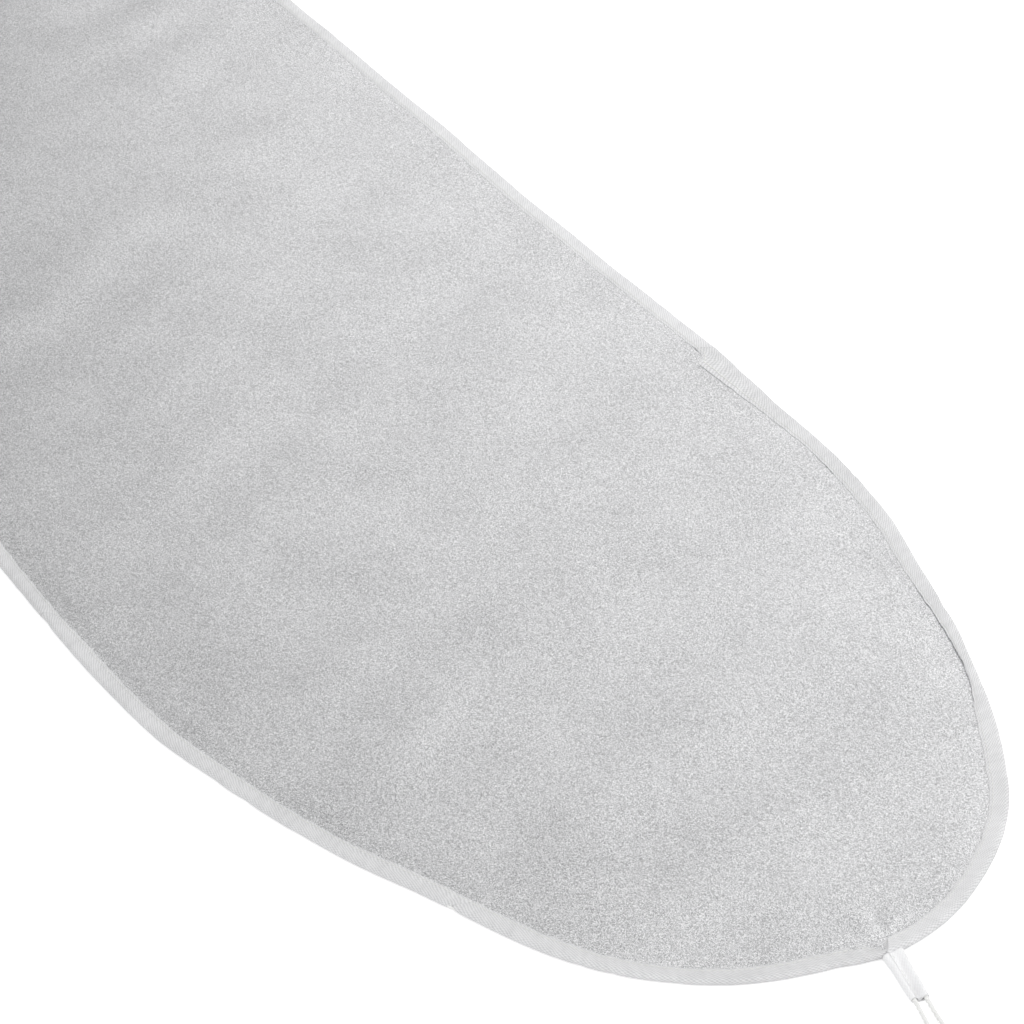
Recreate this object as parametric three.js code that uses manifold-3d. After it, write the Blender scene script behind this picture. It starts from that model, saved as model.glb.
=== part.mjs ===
// Ironing board cover, laid flat: metallised cloth over thin foam, a bias-tape binding sewn round the edge,
// and a drawstring in the binding's fold whose two ends leave through a small tab at the nose.
// Millimetres. +X points to the nose, +Z is up, and the origin is the middle of the underside.

import * as THREE from 'three';
import Module from 'manifold-3d';
import { mergeVertices } from 'three/addons/utils/BufferGeometryUtils.js';

// Outline of the cover, over the binding
const COVER_LENGTH = 1320;
const COVER_WIDTH = 480;
const NOSE_RADIUS = 158;
const FLANK_RADIUS = 737;
const TAIL_CORNER_RADIUS = 110;
const TAIL_END_RADIUS = 900;

// Cloth and foam
const CLOTH_THICKNESS = 0.4;
const FOAM_THICKNESS = 2.4;
const PRESSED_FOAM_THICKNESS = 0.7;
const LAYER_GAP = 0.1;
const HEM_SLOPE_WIDTH = 7.5;

// Bias-tape binding and its seam
const BINDING_WIDTH = 10;
const TAPE_THICKNESS = 0.4;
const TAPE_JOIN_GAP = 0.3;
const BIAS_ANGLE = THREE.MathUtils.degToRad(40);
const BEAD_SLOPE_WIDTH = 2.6;
const FOLD_CHAMFER = 0.9;
const THREAD_THICKNESS = 0.4;
const SEAM_INSET = 1.8;

// Where the strips of tape are joined, along the edge from the nose tip or from the middle of the tail end
const TAPE_MEETING = -3;
const RIGHT_JOIN_FROM_NOSE = 615;
const LEFT_JOIN_FROM_NOSE = 228;
const LEFT_FLANK_JOIN_FROM_NOSE = 571;
const RIGHT_JOIN_FROM_TAIL = 380;
const LEFT_JOIN_FROM_TAIL = 500;

// Drawstring
const CORD_DIAMETER = 2.4;
const CORD_CLEARANCE = 0.3;
const CORD_TURN_LEG = 4;
const CORD_WINDOW_WIDTH = 15;
const END_GAP = 0.3;

// Tab at the nose
const TAB_LENGTH = 38;
const TAB_ROOT_WIDTH = 12;
const TAB_MOUTH_WIDTH = 10;
const TAB_OFFSET = 6.5;
const TAB_TURN = THREE.MathUtils.degToRad(-13);
const TAB_SEAM_OFFSET = 1.2;
const TAB_SEAM_MARGIN = 3;

// Free ends of the drawstring, put away as two small coils
const COIL_OUTER_RADIUS = 16;
const COIL_LOOPS = 2;
const COIL_TURN_GAP = 0.5;
const COIL_END_RADIUS = 5.5;
const TIE_THICKNESS = 0.6;
const TIE_WIDTH = 3;
const TIE_RISE_ANGLE = THREE.MathUtils.degToRad(60);
const KNOT_LENGTH = 8.4;
const KNOT_WIDTH = 6.4;
const KNOT_HEIGHT = 4.6;

// Route of one free end from the tab's mouth to its coil: along the tab, across to its own side, height
const TAIL_ROUTE = [
  [38.15, 3.1, 1.9], [40, 3.1, 1.86], [42, 3.11, 1.76], [44.5, 3.14, 1.6], [47.5, 3.2, 1.42],
  [50.5, 3.28, 1.28], [53.5, 3.4, 1.21], [56.5, 3.54, 1.2], [60, 3.7, 1.2],
  [64, 3.84, 1.2], [68, 3.97, 1.2], [72, 4.07, 1.2], [76, 4.14, 1.2], [80, 4.18, 1.2],
  [84, 4.2, 1.2], [87.3, 4.2, 1.2],
];

// Fineness of the facets
const FACET_TOLERANCE = 0.3;
const CORD_SIDES = 8;
const COIL_SIDES = 6;
const STEPS_PER_LOOP = 24;
const TURN_STEPS = 6;

const X_NOSE = COVER_LENGTH / 2;
const X_TAIL = -COVER_LENGTH / 2;
const CORD_RADIUS = CORD_DIAMETER / 2;
const RIGHT_ANGLE = Math.PI / 2;

// Heights at the seam, from the floor up
const BEAD_HEIGHT = CORD_DIAMETER + 2 * CORD_CLEARANCE + 2 * TAPE_THICKNESS;
const LOWER_LIP = THREAD_THICKNESS + 2 * LAYER_GAP;
const HEM_FOAM = LOWER_LIP + TAPE_THICKNESS + LAYER_GAP;
const HEM_CLOTH = HEM_FOAM + PRESSED_FOAM_THICKNESS + LAYER_GAP;
const UPPER_LIP = HEM_CLOTH + CLOTH_THICKNESS + LAYER_GAP;
const NEEDLE_THREAD = UPPER_LIP + TAPE_THICKNESS + LAYER_GAP;

// Distances inwards from the outer edge
const CORD_INSET = TAPE_THICKNESS + CORD_CLEARANCE + CORD_RADIUS;
const BEAD_WIDTH = CORD_INSET + CORD_RADIUS + CORD_CLEARANCE;
const RAW_EDGE_INSET = BEAD_WIDTH + CORD_CLEARANCE;
const HEM_SLOPE_INSET = BINDING_WIDTH + TAPE_THICKNESS;
const FLAT_INSET = HEM_SLOPE_INSET + HEM_SLOPE_WIDTH;
const SEAM_LINE_INSET = BINDING_WIDTH - SEAM_INSET;

const cover = new THREE.Group();

function addPiece(parent, name, geometry, colour, roughness, metalness = 0) {
  const material = new THREE.MeshStandardMaterial({ color: colour, roughness, metalness });
  const mesh = new THREE.Mesh(geometry, material);
  mesh.name = name;
  parent.add(mesh);
  return mesh;
}

const addCloth = (name, geometry) => addPiece(cover, name, geometry, '#c9cacb', 0.45, 0.5);
const addFoam = (name, geometry) => addPiece(cover, name, geometry, '#efece2', 0.95);
const addTape = (parent, name, geometry) => addPiece(parent, name, geometry, '#ecebe8', 0.85);
const addThread = (parent, name, geometry) => addPiece(parent, name, geometry, '#f4f4f1', 0.7);
const addCord = (parent, name, geometry) => addPiece(parent, name, geometry, '#f3f2ee', 0.8);
const addTie = (parent, name, geometry) => addPiece(parent, name, geometry, '#f7f7f5', 0.6);

// The outline: arcs and straight lines in order from the nose tip, counter-clockwise seen from above

function arcStretch(cx, cy, radius, from, to) {
  const at = (s) => {
    const angle = from + s / radius;
    return {
      point: new THREE.Vector2(cx + radius * Math.cos(angle), cy + radius * Math.sin(angle)),
      outward: new THREE.Vector2(Math.cos(angle), Math.sin(angle)),
    };
  };
  return { length: radius * (to - from), step: 2 * radius * Math.acos(1 - FACET_TOLERANCE / radius), at };
}

function straightStretch(start, end) {
  const along = end.clone().sub(start).normalize();
  const outward = new THREE.Vector2(along.y, -along.x);
  const at = (s) => ({ point: start.clone().addScaledVector(along, s), outward });
  return { length: start.distanceTo(end), step: Infinity, at };
}

function outlineStretches() {
  const half = COVER_WIDTH / 2;
  const noseX = X_NOSE - NOSE_RADIUS;
  const flankY = half - FLANK_RADIUS;
  const flankX = noseX - Math.sqrt((FLANK_RADIUS - NOSE_RADIUS) ** 2 - flankY ** 2);
  const noseTurn = Math.atan2(-flankY, noseX - flankX);
  const cornerY = half - TAIL_CORNER_RADIUS;
  const endX = X_TAIL + TAIL_END_RADIUS;
  const cornerX = endX - Math.sqrt((TAIL_END_RADIUS - TAIL_CORNER_RADIUS) ** 2 - cornerY ** 2);
  const endTurn = Math.atan2(cornerY, endX - cornerX);
  return [
    arcStretch(noseX, 0, NOSE_RADIUS, 0, noseTurn),
    arcStretch(flankX, flankY, FLANK_RADIUS, noseTurn, RIGHT_ANGLE),
    straightStretch(new THREE.Vector2(flankX, half), new THREE.Vector2(cornerX, half)),
    arcStretch(cornerX, cornerY, TAIL_CORNER_RADIUS, RIGHT_ANGLE, Math.PI - endTurn),
    arcStretch(endX, 0, TAIL_END_RADIUS, Math.PI - endTurn, Math.PI + endTurn),
    arcStretch(cornerX, -cornerY, TAIL_CORNER_RADIUS, Math.PI + endTurn, 3 * RIGHT_ANGLE),
    straightStretch(new THREE.Vector2(cornerX, -half), new THREE.Vector2(flankX, -half)),
    arcStretch(flankX, -flankY, FLANK_RADIUS, 3 * RIGHT_ANGLE, 2 * Math.PI - noseTurn),
    arcStretch(noseX, 0, NOSE_RADIUS, 2 * Math.PI - noseTurn, 2 * Math.PI),
  ];
}

const STRETCHES = outlineStretches();
const PERIMETER = STRETCHES.reduce((sum, stretch) => sum + stretch.length, 0);

// The stretch that holds the place s along the edge, and how far into it that place lies
function stretchAt(s) {
  let rest = ((s % PERIMETER) + PERIMETER) % PERIMETER;
  for (const stretch of STRETCHES) {
    if (rest <= stretch.length) return { stretch, rest };
    rest -= stretch.length;
  }
  const last = STRETCHES[STRETCHES.length - 1];
  return { stretch: last, rest: last.length };
}

// A point of the edge, moved inwards square to it
function edgePoint(s, inset) {
  const { stretch, rest } = stretchAt(s);
  const { point, outward } = stretch.at(rest);
  return point.clone().addScaledVector(outward, -inset);
}

function edgeOutward(s) {
  const { stretch, rest } = stretchAt(s);
  return stretch.at(rest).outward;
}

const JOINS = [
  TAPE_MEETING,
  RIGHT_JOIN_FROM_NOSE,
  PERIMETER / 2 - RIGHT_JOIN_FROM_TAIL,
  PERIMETER / 2 + LEFT_JOIN_FROM_TAIL,
  PERIMETER - LEFT_FLANK_JOIN_FROM_NOSE,
  PERIMETER - LEFT_JOIN_FROM_NOSE,
  PERIMETER + TAPE_MEETING,
];
const BIAS_SHEAR = Math.tan(BIAS_ANGLE);
const JOIN_ROOM = BINDING_WIDTH * BIAS_SHEAR + BINDING_WIDTH / 2;

// Places along the edge where every layer has its facet corners: joins, ends of arcs and steps between
function edgeStations() {
  const ends = [];
  let s = 0;
  for (const stretch of STRETCHES.slice(0, -1)) {
    s += stretch.length;
    if (JOINS.every((join) => Math.abs(join - s) > JOIN_ROOM)) ends.push(s);
  }
  const fixed = [...JOINS, ...ends].sort((a, b) => a - b);
  const stations = [];
  for (let i = 0; i + 1 < fixed.length; i += 1) {
    const span = fixed[i + 1] - fixed[i];
    const steps = Math.max(1, Math.ceil(span / stretchAt(fixed[i] + span / 2).stretch.step));
    for (let k = 0; k < steps; k += 1) stations.push(fixed[i] + (span * k) / steps);
  }
  return stations;
}

const STATIONS = edgeStations();

// A point of the faceted edge: on the straight facet between the two stations around it
function facetPoint(s, inset) {
  const after = STATIONS.findIndex((station) => station > s);
  const [from, to] = [STATIONS[after - 1], STATIONS[after]];
  return edgePoint(from, inset).lerp(edgePoint(to, inset), (s - from) / (to - from));
}

// Skins rings of points into one closed body: looped back to the first ring, or capped at both ends

function closedBody(positions, triangles) {
  let volume = 0;
  for (const [a, b, c] of triangles) {
    volume += positions[a].dot(positions[b].clone().cross(positions[c]));
  }
  const faces = volume < 0 ? triangles.map(([a, b, c]) => [a, c, b]) : triangles;
  const geometry = new THREE.BufferGeometry().setFromPoints(positions);
  geometry.setIndex(faces.flat());
  geometry.computeVertexNormals();
  return geometry;
}

function skinRings(rings, section = null) {
  const count = rings[0].length;
  const triangles = [];
  const bands = section ? rings.length - 1 : rings.length;
  for (let i = 0; i < bands; i += 1) {
    const here = i * count;
    const there = ((i + 1) % rings.length) * count;
    for (let k = 0; k < count; k += 1) {
      const next = (k + 1) % count;
      triangles.push([here + k, here + next, there + k], [here + next, there + next, there + k]);
    }
  }
  if (section) {
    const far = (rings.length - 1) * count;
    for (const [a, b, c] of THREE.ShapeUtils.triangulateShape(section, [])) {
      const flip = THREE.ShapeUtils.area(section) < 0;
      triangles.push(flip ? [a, b, c] : [a, c, b]);
      triangles.push(flip ? [far + a, far + c, far + b] : [far + a, far + b, far + c]);
    }
  }
  return closedBody(rings.flat(), triangles);
}

const raised = (flat, z) => new THREE.Vector3(flat.x, flat.y, z);

function regularSection(radius, sides) {
  const points = [];
  for (let k = 0; k < sides; k += 1) {
    const angle = ((k + 0.5) * 2 * Math.PI) / sides;
    points.push(new THREE.Vector2(radius * Math.cos(angle), radius * Math.sin(angle)));
  }
  return points;
}

// A tube whose rings stand square to the path, each at a place with its sideways direction
function tubeAlong(places, section) {
  const rings = places.map(({ centre, along }) => {
    const sideways = new THREE.Vector3(along.y, -along.x, 0).normalize();
    const up = sideways.clone().cross(along).normalize();
    return section.map((p) => centre.clone().addScaledVector(sideways, p.x).addScaledVector(up, p.y));
  });
  return skinRings(rings, section);
}

// Flat layers: each profile point is [inset from the edge, height], from the middle of the underside outwards

function layer(profile) {
  const rings = profile.map(([inset, z]) => STATIONS.map((s) => raised(edgePoint(s, inset), z)));
  return skinRings(rings, rings[0].map((p) => new THREE.Vector2(p.x, p.y)));
}

function hemmedLayer(flatZ, hemZ, thickness, hemThickness) {
  return layer([
    [FLAT_INSET, flatZ],
    [HEM_SLOPE_INSET, hemZ],
    [RAW_EDGE_INSET, hemZ],
    [RAW_EDGE_INSET, hemZ + hemThickness],
    [HEM_SLOPE_INSET, hemZ + hemThickness],
    [FLAT_INSET, flatZ + thickness],
  ]);
}

addFoam('foam_layer', hemmedLayer(0, HEM_FOAM, FOAM_THICKNESS, PRESSED_FOAM_THICKNESS));
const clothZ = FOAM_THICKNESS + LAYER_GAP;
addCloth('top_cloth', hemmedLayer(clothZ, HEM_CLOTH, CLOTH_THICKNESS, CLOTH_THICKNESS));

// Binding: the tape's folded section, swept in strips with ends cut on the bias

function bindingSection() {
  const t = TAPE_THICKNESS;
  const top = BEAD_HEIGHT;
  const seam = BEAD_WIDTH + BEAD_SLOPE_WIDTH;
  const inside = FOLD_CHAMFER;
  const outer = [
    [BINDING_WIDTH, UPPER_LIP + t], [seam, UPPER_LIP + t], [BEAD_WIDTH, top], [FOLD_CHAMFER, top],
    [0, top - FOLD_CHAMFER], [0, FOLD_CHAMFER],
    [FOLD_CHAMFER, 0], [BEAD_WIDTH, 0], [seam, LOWER_LIP], [BINDING_WIDTH, LOWER_LIP],
  ];
  const inner = [
    [BINDING_WIDTH, LOWER_LIP + t], [seam, LOWER_LIP + t], [BEAD_WIDTH, t], [t + inside, t],
    [t, t + inside], [t, top - t - inside],
    [t + inside, top - t], [BEAD_WIDTH, top - t], [seam, UPPER_LIP], [BINDING_WIDTH, UPPER_LIP],
  ];
  return [...outer, ...inner].map(([inset, z]) => new THREE.Vector2(inset, z));
}

function bindingStrip(from, to) {
  const section = bindingSection();
  const ring = (s, shear) => section.map((p) => raised(edgePoint(s + shear * p.x, p.x), p.y));
  const between = STATIONS.filter((s) => s > from && s < to);
  return skinRings([
    ring(from + TAPE_JOIN_GAP / 2, BIAS_SHEAR),
    ...between.map((s) => ring(s, 0)),
    ring(to - TAPE_JOIN_GAP / 2, BIAS_SHEAR),
  ], section);
}

const STRIP_NAMES = [
  'binding_nose_right', 'binding_side_right', 'binding_tail',
  'binding_side_left', 'binding_flank_left', 'binding_nose_left',
];
const strips = STRIP_NAMES.map((name, i) => addTape(cover, name, bindingStrip(JOINS[i], JOINS[i + 1])));

// The seam's two threads, above and below the binding

function threadRing(z) {
  const half = THREAD_THICKNESS / 2;
  const corners = [[-half, 0], [half, 0], [half, THREAD_THICKNESS], [-half, THREAD_THICKNESS]];
  return skinRings(STATIONS.map((s) => corners.map(([across, up]) => (
    raised(edgePoint(s, SEAM_LINE_INSET + across), z + up)))));
}

addThread(cover, 'needle_thread', threadRing(NEEDLE_THREAD));
addThread(cover, 'bobbin_thread', threadRing(LAYER_GAP));

// Tab: a flat sleeve of folded tape on the outer edge, in a frame of its own with x along the tab

const tabEnd = new THREE.Group();
tabEnd.position.copy(raised(edgePoint(NOSE_RADIUS * Math.asin(TAB_OFFSET / NOSE_RADIUS), 0), 0));
tabEnd.rotation.z = TAB_TURN;
cover.add(tabEnd);
tabEnd.updateMatrixWorld(true);

const CHANNEL = TAB_MOUTH_WIDTH / 2 - TAPE_THICKNESS - CORD_CLEARANCE - CORD_RADIUS;
const CORD_HEIGHT = BEAD_HEIGHT / 2;
const EDGE_LEAN = Math.tan(TAB_TURN);

// Corners of a rectangle with its corners cut off, as [across, height]
function chamferedSection(low, high, bottom, top, chamfer) {
  return [
    [low, bottom + chamfer], [low + chamfer, bottom], [high - chamfer, bottom], [high, bottom + chamfer],
    [high, top - chamfer], [high - chamfer, top], [low + chamfer, top], [low, top - chamfer],
  ];
}

function sleeveSection(width, wall) {
  const half = width / 2 - wall;
  return chamferedSection(-half, half, wall, BEAD_HEIGHT - wall, FOLD_CHAMFER);
}

function sleeve() {
  const root = (wall) => sleeveSection(TAB_ROOT_WIDTH, wall)
    .map(([y, z]) => new THREE.Vector3(END_GAP + y * EDGE_LEAN, y, z));
  const mouth = (wall) => sleeveSection(TAB_MOUTH_WIDTH, wall)
    .map(([y, z]) => new THREE.Vector3(TAB_LENGTH, y, z));
  return skinRings([root(0), mouth(0), mouth(TAPE_THICKNESS), root(TAPE_THICKNESS)]);
}

addTape(tabEnd, 'nose_tab', sleeve());

const tabSeamLength = TAB_LENGTH - 2 * TAB_SEAM_MARGIN;
const tabSeam = new THREE.BoxGeometry(tabSeamLength, THREAD_THICKNESS, THREAD_THICKNESS);
tabSeam.translate(TAB_LENGTH / 2, TAB_SEAM_OFFSET, BEAD_HEIGHT + LAYER_GAP + THREAD_THICKNESS / 2);
addThread(tabEnd, 'tab_thread', tabSeam);

// A window in the binding's outer fold, where the two cords pass from the fold into the tab

const wasm = await Module();
wasm.setup();

function solidOf(geometry) {
  const bare = new THREE.BufferGeometry();
  bare.setAttribute('position', geometry.getAttribute('position'));
  bare.setIndex(geometry.getIndex());
  const merged = mergeVertices(bare);
  return new wasm.Manifold(new wasm.Mesh({
    numProp: 3,
    vertProperties: new Float32Array(merged.getAttribute('position').array),
    triVerts: new Uint32Array(merged.getIndex().array),
  }));
}

function geometryOf(solid) {
  const { vertProperties, triVerts } = solid.getMesh();
  const geometry = new THREE.BufferGeometry();
  geometry.setAttribute('position', new THREE.BufferAttribute(vertProperties, 3));
  geometry.setIndex(new THREE.BufferAttribute(triVerts, 1));
  geometry.computeVertexNormals();
  return geometry;
}

function cordWindow() {
  const depth = 2 * CORD_INSET;
  const height = BEAD_HEIGHT - 2 * TAPE_THICKNESS;
  const box = new THREE.BoxGeometry(depth, CORD_WINDOW_WIDTH, height);
  return box.translate(tabEnd.position.x, tabEnd.position.y, BEAD_HEIGHT / 2);
}

const noseStrip = strips[0];
noseStrip.geometry = geometryOf(solidOf(noseStrip.geometry).subtract(solidOf(cordWindow())));

// Drawstring: round the cover in the binding's fold, turning out through the window at both ends

// Where the line of one cord in the tab meets the line of the fold, side +1 or -1 of the tab
function turnCorner(side) {
  const corner = new THREE.Vector3(side * CHANNEL * EDGE_LEAN - CORD_INSET / Math.cos(TAB_TURN), side * CHANNEL, 0);
  return corner.applyMatrix4(tabEnd.matrixWorld);
}

function turnPlace(side) {
  const along = Math.asin(turnCorner(side).y / (NOSE_RADIUS - CORD_INSET)) * NOSE_RADIUS;
  return along + side * CORD_TURN_LEG;
}

// Points and directions of one turn, from inside the tab to the fold
function turnPlaces(side) {
  const corner = turnCorner(side);
  const outward = new THREE.Vector3(CORD_TURN_LEG, 0, 0).applyAxisAngle(new THREE.Vector3(0, 0, 1), TAB_TURN);
  const foldEnd = raised(facetPoint(turnPlace(side), CORD_INSET), 0);
  const curve = new THREE.QuadraticBezierCurve3(corner.clone().add(outward), corner, foldEnd);
  const places = [];
  for (let k = 0; k <= TURN_STEPS; k += 1) {
    const centre = curve.getPoint(k / TURN_STEPS).setZ(CORD_HEIGHT);
    places.push({ centre, along: curve.getTangent(k / TURN_STEPS) });
  }
  return places;
}

function foldPlaces() {
  const from = turnPlace(1) + CORD_DIAMETER;
  const to = PERIMETER + turnPlace(-1) - CORD_DIAMETER;
  return STATIONS.filter((s) => s > from && s < to).map((s) => {
    const outward = edgeOutward(s);
    const centre = raised(edgePoint(s, CORD_INSET), CORD_HEIGHT);
    return { centre, along: new THREE.Vector3(-outward.y, outward.x, 0) };
  });
}

const comingBack = turnPlaces(-1).reverse().map(({ centre, along }) => ({ centre, along: along.negate() }));
const cordSection = regularSection(CORD_RADIUS, CORD_SIDES);
addCord(cover, 'drawstring', tubeAlong([...turnPlaces(1), ...foldPlaces(), ...comingBack], cordSection));

// The two cord ends: straight through the tab, out over the floor, and wound into a tied coil with a knot

const COIL_PITCH = CORD_DIAMETER + COIL_TURN_GAP;
const TIE_ANGLE = Math.PI;
const TIE_RISE = TIE_THICKNESS + CORD_CLEARANCE;
const ROUTE_END = TAIL_ROUTE[TAIL_ROUTE.length - 1];
const COIL_START = ROUTE_END[0] + END_GAP;
const COIL_X = COIL_START + CORD_DIAMETER;

const spiralRadius = (turn) => COIL_OUTER_RADIUS - (COIL_PITCH * turn) / (2 * Math.PI);

// The loops lift over the tie's lower band, and lie on the floor elsewhere
function coilHeight(turn) {
  const fromTie = Math.abs(((turn % (2 * Math.PI)) - TIE_ANGLE));
  const rise = fromTie < TIE_RISE_ANGLE ? (1 + Math.cos((Math.PI * fromTie) / TIE_RISE_ANGLE)) / 2 : 0;
  return CORD_RADIUS + TIE_RISE * rise;
}

// Centre line of a coil for side +1: straight in, the loops, a bend to the middle, straight to the knot
function coilLine() {
  const middle = ROUTE_END[1] + COIL_OUTER_RADIUS;
  const points = [new THREE.Vector3(COIL_START, ROUTE_END[1], CORD_RADIUS)];
  for (let k = 0; k <= COIL_LOOPS * STEPS_PER_LOOP; k += 1) {
    const turn = (k * 2 * Math.PI) / STEPS_PER_LOOP;
    const r = spiralRadius(turn);
    points.push(new THREE.Vector3(COIL_X + r * Math.sin(turn), middle - r * Math.cos(turn), coilHeight(turn)));
  }
  const bendY = middle - spiralRadius(COIL_LOOPS * 2 * Math.PI) + COIL_END_RADIUS;
  for (let k = 1; k <= TURN_STEPS; k += 1) {
    const turn = (k * RIGHT_ANGLE) / TURN_STEPS;
    const x = COIL_X + COIL_END_RADIUS * Math.sin(turn);
    points.push(new THREE.Vector3(x, bendY - COIL_END_RADIUS * Math.cos(turn), CORD_RADIUS));
  }
  points.push(new THREE.Vector3(COIL_X + COIL_END_RADIUS, bendY + CORD_DIAMETER, CORD_RADIUS));
  return points;
}

const COIL_LINE = coilLine();
const COIL_END = COIL_LINE[COIL_LINE.length - 1];

const toSide = (point, side) => new THREE.Vector3(point.x, side * point.y, point.z);

function coilTube(side) {
  const line = COIL_LINE.map((point) => toSide(point, side));
  const places = line.map((centre, i) => {
    const before = line[Math.max(i - 1, 0)];
    const after = line[Math.min(i + 1, line.length - 1)];
    return { centre, along: after.clone().sub(before).normalize() };
  });
  return tubeAlong(places, regularSection(CORD_RADIUS, COIL_SIDES));
}

// The least gap of the coil to itself, between points more than half a loop apart along it
function leastGap(line) {
  let least = Infinity;
  for (let i = 0; i < line.length; i += 1) {
    for (let j = i + STEPS_PER_LOOP / 2; j < line.length; j += 1) {
      least = Math.min(least, line[i].distanceTo(line[j]));
    }
  }
  return least - CORD_DIAMETER;
}

console.log(`coil: least gap to itself ${leastGap(COIL_LINE).toFixed(2)} mm`);

function tailTube(side) {
  const route = new THREE.CatmullRomCurve3(TAIL_ROUTE.map(([x, y, z]) => new THREE.Vector3(x, side * y, z)));
  const steps = Math.ceil(route.getLength() / (2 * CORD_DIAMETER));
  const shape = new THREE.Shape(regularSection(CORD_RADIUS, CORD_SIDES));
  return new THREE.ExtrudeGeometry(shape, { steps, extrudePath: route, bevelEnabled: false });
}

function tabRun(side) {
  const start = side * CHANNEL * EDGE_LEAN - CORD_INSET / Math.cos(TAB_TURN) + CORD_TURN_LEG + END_GAP;
  const end = TAB_LENGTH - END_GAP / 2;
  const run = new THREE.CylinderGeometry(CORD_RADIUS, CORD_RADIUS, end - start, CORD_SIDES);
  run.rotateZ(RIGHT_ANGLE);
  return run.translate((start + end) / 2, side * CHANNEL, CORD_HEIGHT);
}

// The tie: a flat band round the loops on the coil's far side
function tieBand(side) {
  const innerLoop = spiralRadius(TIE_ANGLE + 2 * Math.PI * (COIL_LOOPS - 1));
  const low = innerLoop - CORD_RADIUS - CORD_CLEARANCE;
  const high = spiralRadius(TIE_ANGLE) + CORD_RADIUS + CORD_CLEARANCE;
  const top = TIE_THICKNESS + CORD_DIAMETER + 2 * CORD_CLEARANCE;
  const t = TIE_THICKNESS;
  const outer = chamferedSection(low - t, high + t, 0, top + t, t);
  const inner = chamferedSection(low, high, t, top, t / 2);
  const middle = ROUTE_END[1] + COIL_OUTER_RADIUS;
  const ring = (section, x) => section.map(([radial, z]) => (
    new THREE.Vector3(COIL_X + x, side * (middle + radial), z)));
  const half = TIE_WIDTH / 2;
  return skinRings([ring(outer, -half), ring(outer, half), ring(inner, half), ring(inner, -half)]);
}

function addKnot(name, side) {
  const knot = addCord(tabEnd, name, new THREE.SphereGeometry(1, 12, 8));
  knot.scale.set(KNOT_WIDTH / 2, KNOT_LENGTH / 2, KNOT_HEIGHT / 2);
  knot.position.set(COIL_END.x, side * (COIL_END.y + END_GAP + KNOT_LENGTH / 2), KNOT_HEIGHT / 2);
}

for (const [label, side] of [['right', 1], ['left', -1]]) {
  addCord(tabEnd, `tab_cord_${label}`, tabRun(side));
  addCord(tabEnd, `tail_${label}`, tailTube(side));
  addCord(tabEnd, `coil_${label}`, coilTube(side));
  addKnot(`knot_${label}`, side);
  addTie(tabEnd, `coil_tie_${label}`, tieBand(side));
}

export default cover;
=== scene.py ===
# %% [markdown]
# # An ironing board cover, laid flat
# The cover is a sheet of metallised cotton over thin foam, with a bias-tape binding sewn round the edge and a
# drawstring in the binding's fold. The imported frame already holds every piece at its real place and size, so the
# script starts from it and only makes the looks. The box of the frame is kept.

# %% Load the frame
import math

import bmesh
import bpy
import numpy as np
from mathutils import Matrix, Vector


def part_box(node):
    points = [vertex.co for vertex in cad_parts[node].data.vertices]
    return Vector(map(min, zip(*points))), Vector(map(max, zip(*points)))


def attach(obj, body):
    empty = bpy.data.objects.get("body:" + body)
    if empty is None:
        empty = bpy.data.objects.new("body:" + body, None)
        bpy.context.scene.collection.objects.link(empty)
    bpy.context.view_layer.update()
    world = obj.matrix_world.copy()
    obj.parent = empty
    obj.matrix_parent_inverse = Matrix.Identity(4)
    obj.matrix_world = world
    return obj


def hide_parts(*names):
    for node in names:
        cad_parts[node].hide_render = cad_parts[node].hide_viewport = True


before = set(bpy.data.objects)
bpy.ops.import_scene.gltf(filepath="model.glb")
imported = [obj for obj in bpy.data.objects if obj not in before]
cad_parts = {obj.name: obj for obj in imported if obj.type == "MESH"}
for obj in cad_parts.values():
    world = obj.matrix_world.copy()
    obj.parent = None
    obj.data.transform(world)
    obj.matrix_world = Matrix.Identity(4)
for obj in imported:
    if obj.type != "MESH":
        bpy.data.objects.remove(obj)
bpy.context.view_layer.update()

MM = 0.001
scene = bpy.context.scene
print("nodes in the frame:", len(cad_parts))

# %% [markdown]
# ## The camera
# The photograph was taken with a long lens, from the side of the nose and well above. A narrow field of view keeps
# the cover's two sides nearly parallel in the picture. The place and the two angles come from matching the cover's
# curved edge, so no lens shift is needed.

# %% Camera
VIEW_ANGLE = math.radians(17)
CAMERA_PLACE = Vector((1656.4, -796.6, 1127.6)) * MM
CAMERA_DOWN = math.radians(34.379)
CAMERA_AZIMUTH = math.radians(59.458)

camera_data = bpy.data.cameras.new("camera")
camera_data.sensor_width = 36
camera_data.lens_unit = "FOV"
camera_data.angle = VIEW_ANGLE
camera = bpy.data.objects.new("camera", camera_data)
camera.location = CAMERA_PLACE
camera.rotation_euler = (math.pi / 2 - CAMERA_DOWN, 0, CAMERA_AZIMUTH)
scene.collection.objects.link(camera)
scene.camera = camera
scene.view_settings.view_transform = "Standard"
print("lens", round(camera_data.lens, 1), "mm")

# %% [markdown]
# ## Sizes of the cover
# A few driving sizes, the same as the maker's: the outline is two arcs a side at the nose, straight sides, and
# rounded corners at the tail. Heights in the hem are added up from the layers, from the floor: thread, tape, foam,
# cloth, tape, thread.

# %% Driving sizes
X_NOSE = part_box("binding_nose_right")[1][0] / MM
X_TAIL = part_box("binding_tail")[0][0] / MM
HALF_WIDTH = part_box("binding_tail")[1][1] / MM
NOSE_RADIUS = 158.0
FLANK_RADIUS = 737.0
TAIL_CORNER_RADIUS = 110.0
TAIL_END_RADIUS = 900.0
TAB_OFFSET = 6.5

BINDING_WIDTH = 10.0
TAPE = 0.4
CLOTH = 0.4
FOAM = 2.4
PRESSED_FOAM = 0.7
LAYER_GAP = 0.1
THREAD = 0.4
SEAM_INSET = 8.2
CORD = 2.4

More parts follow.
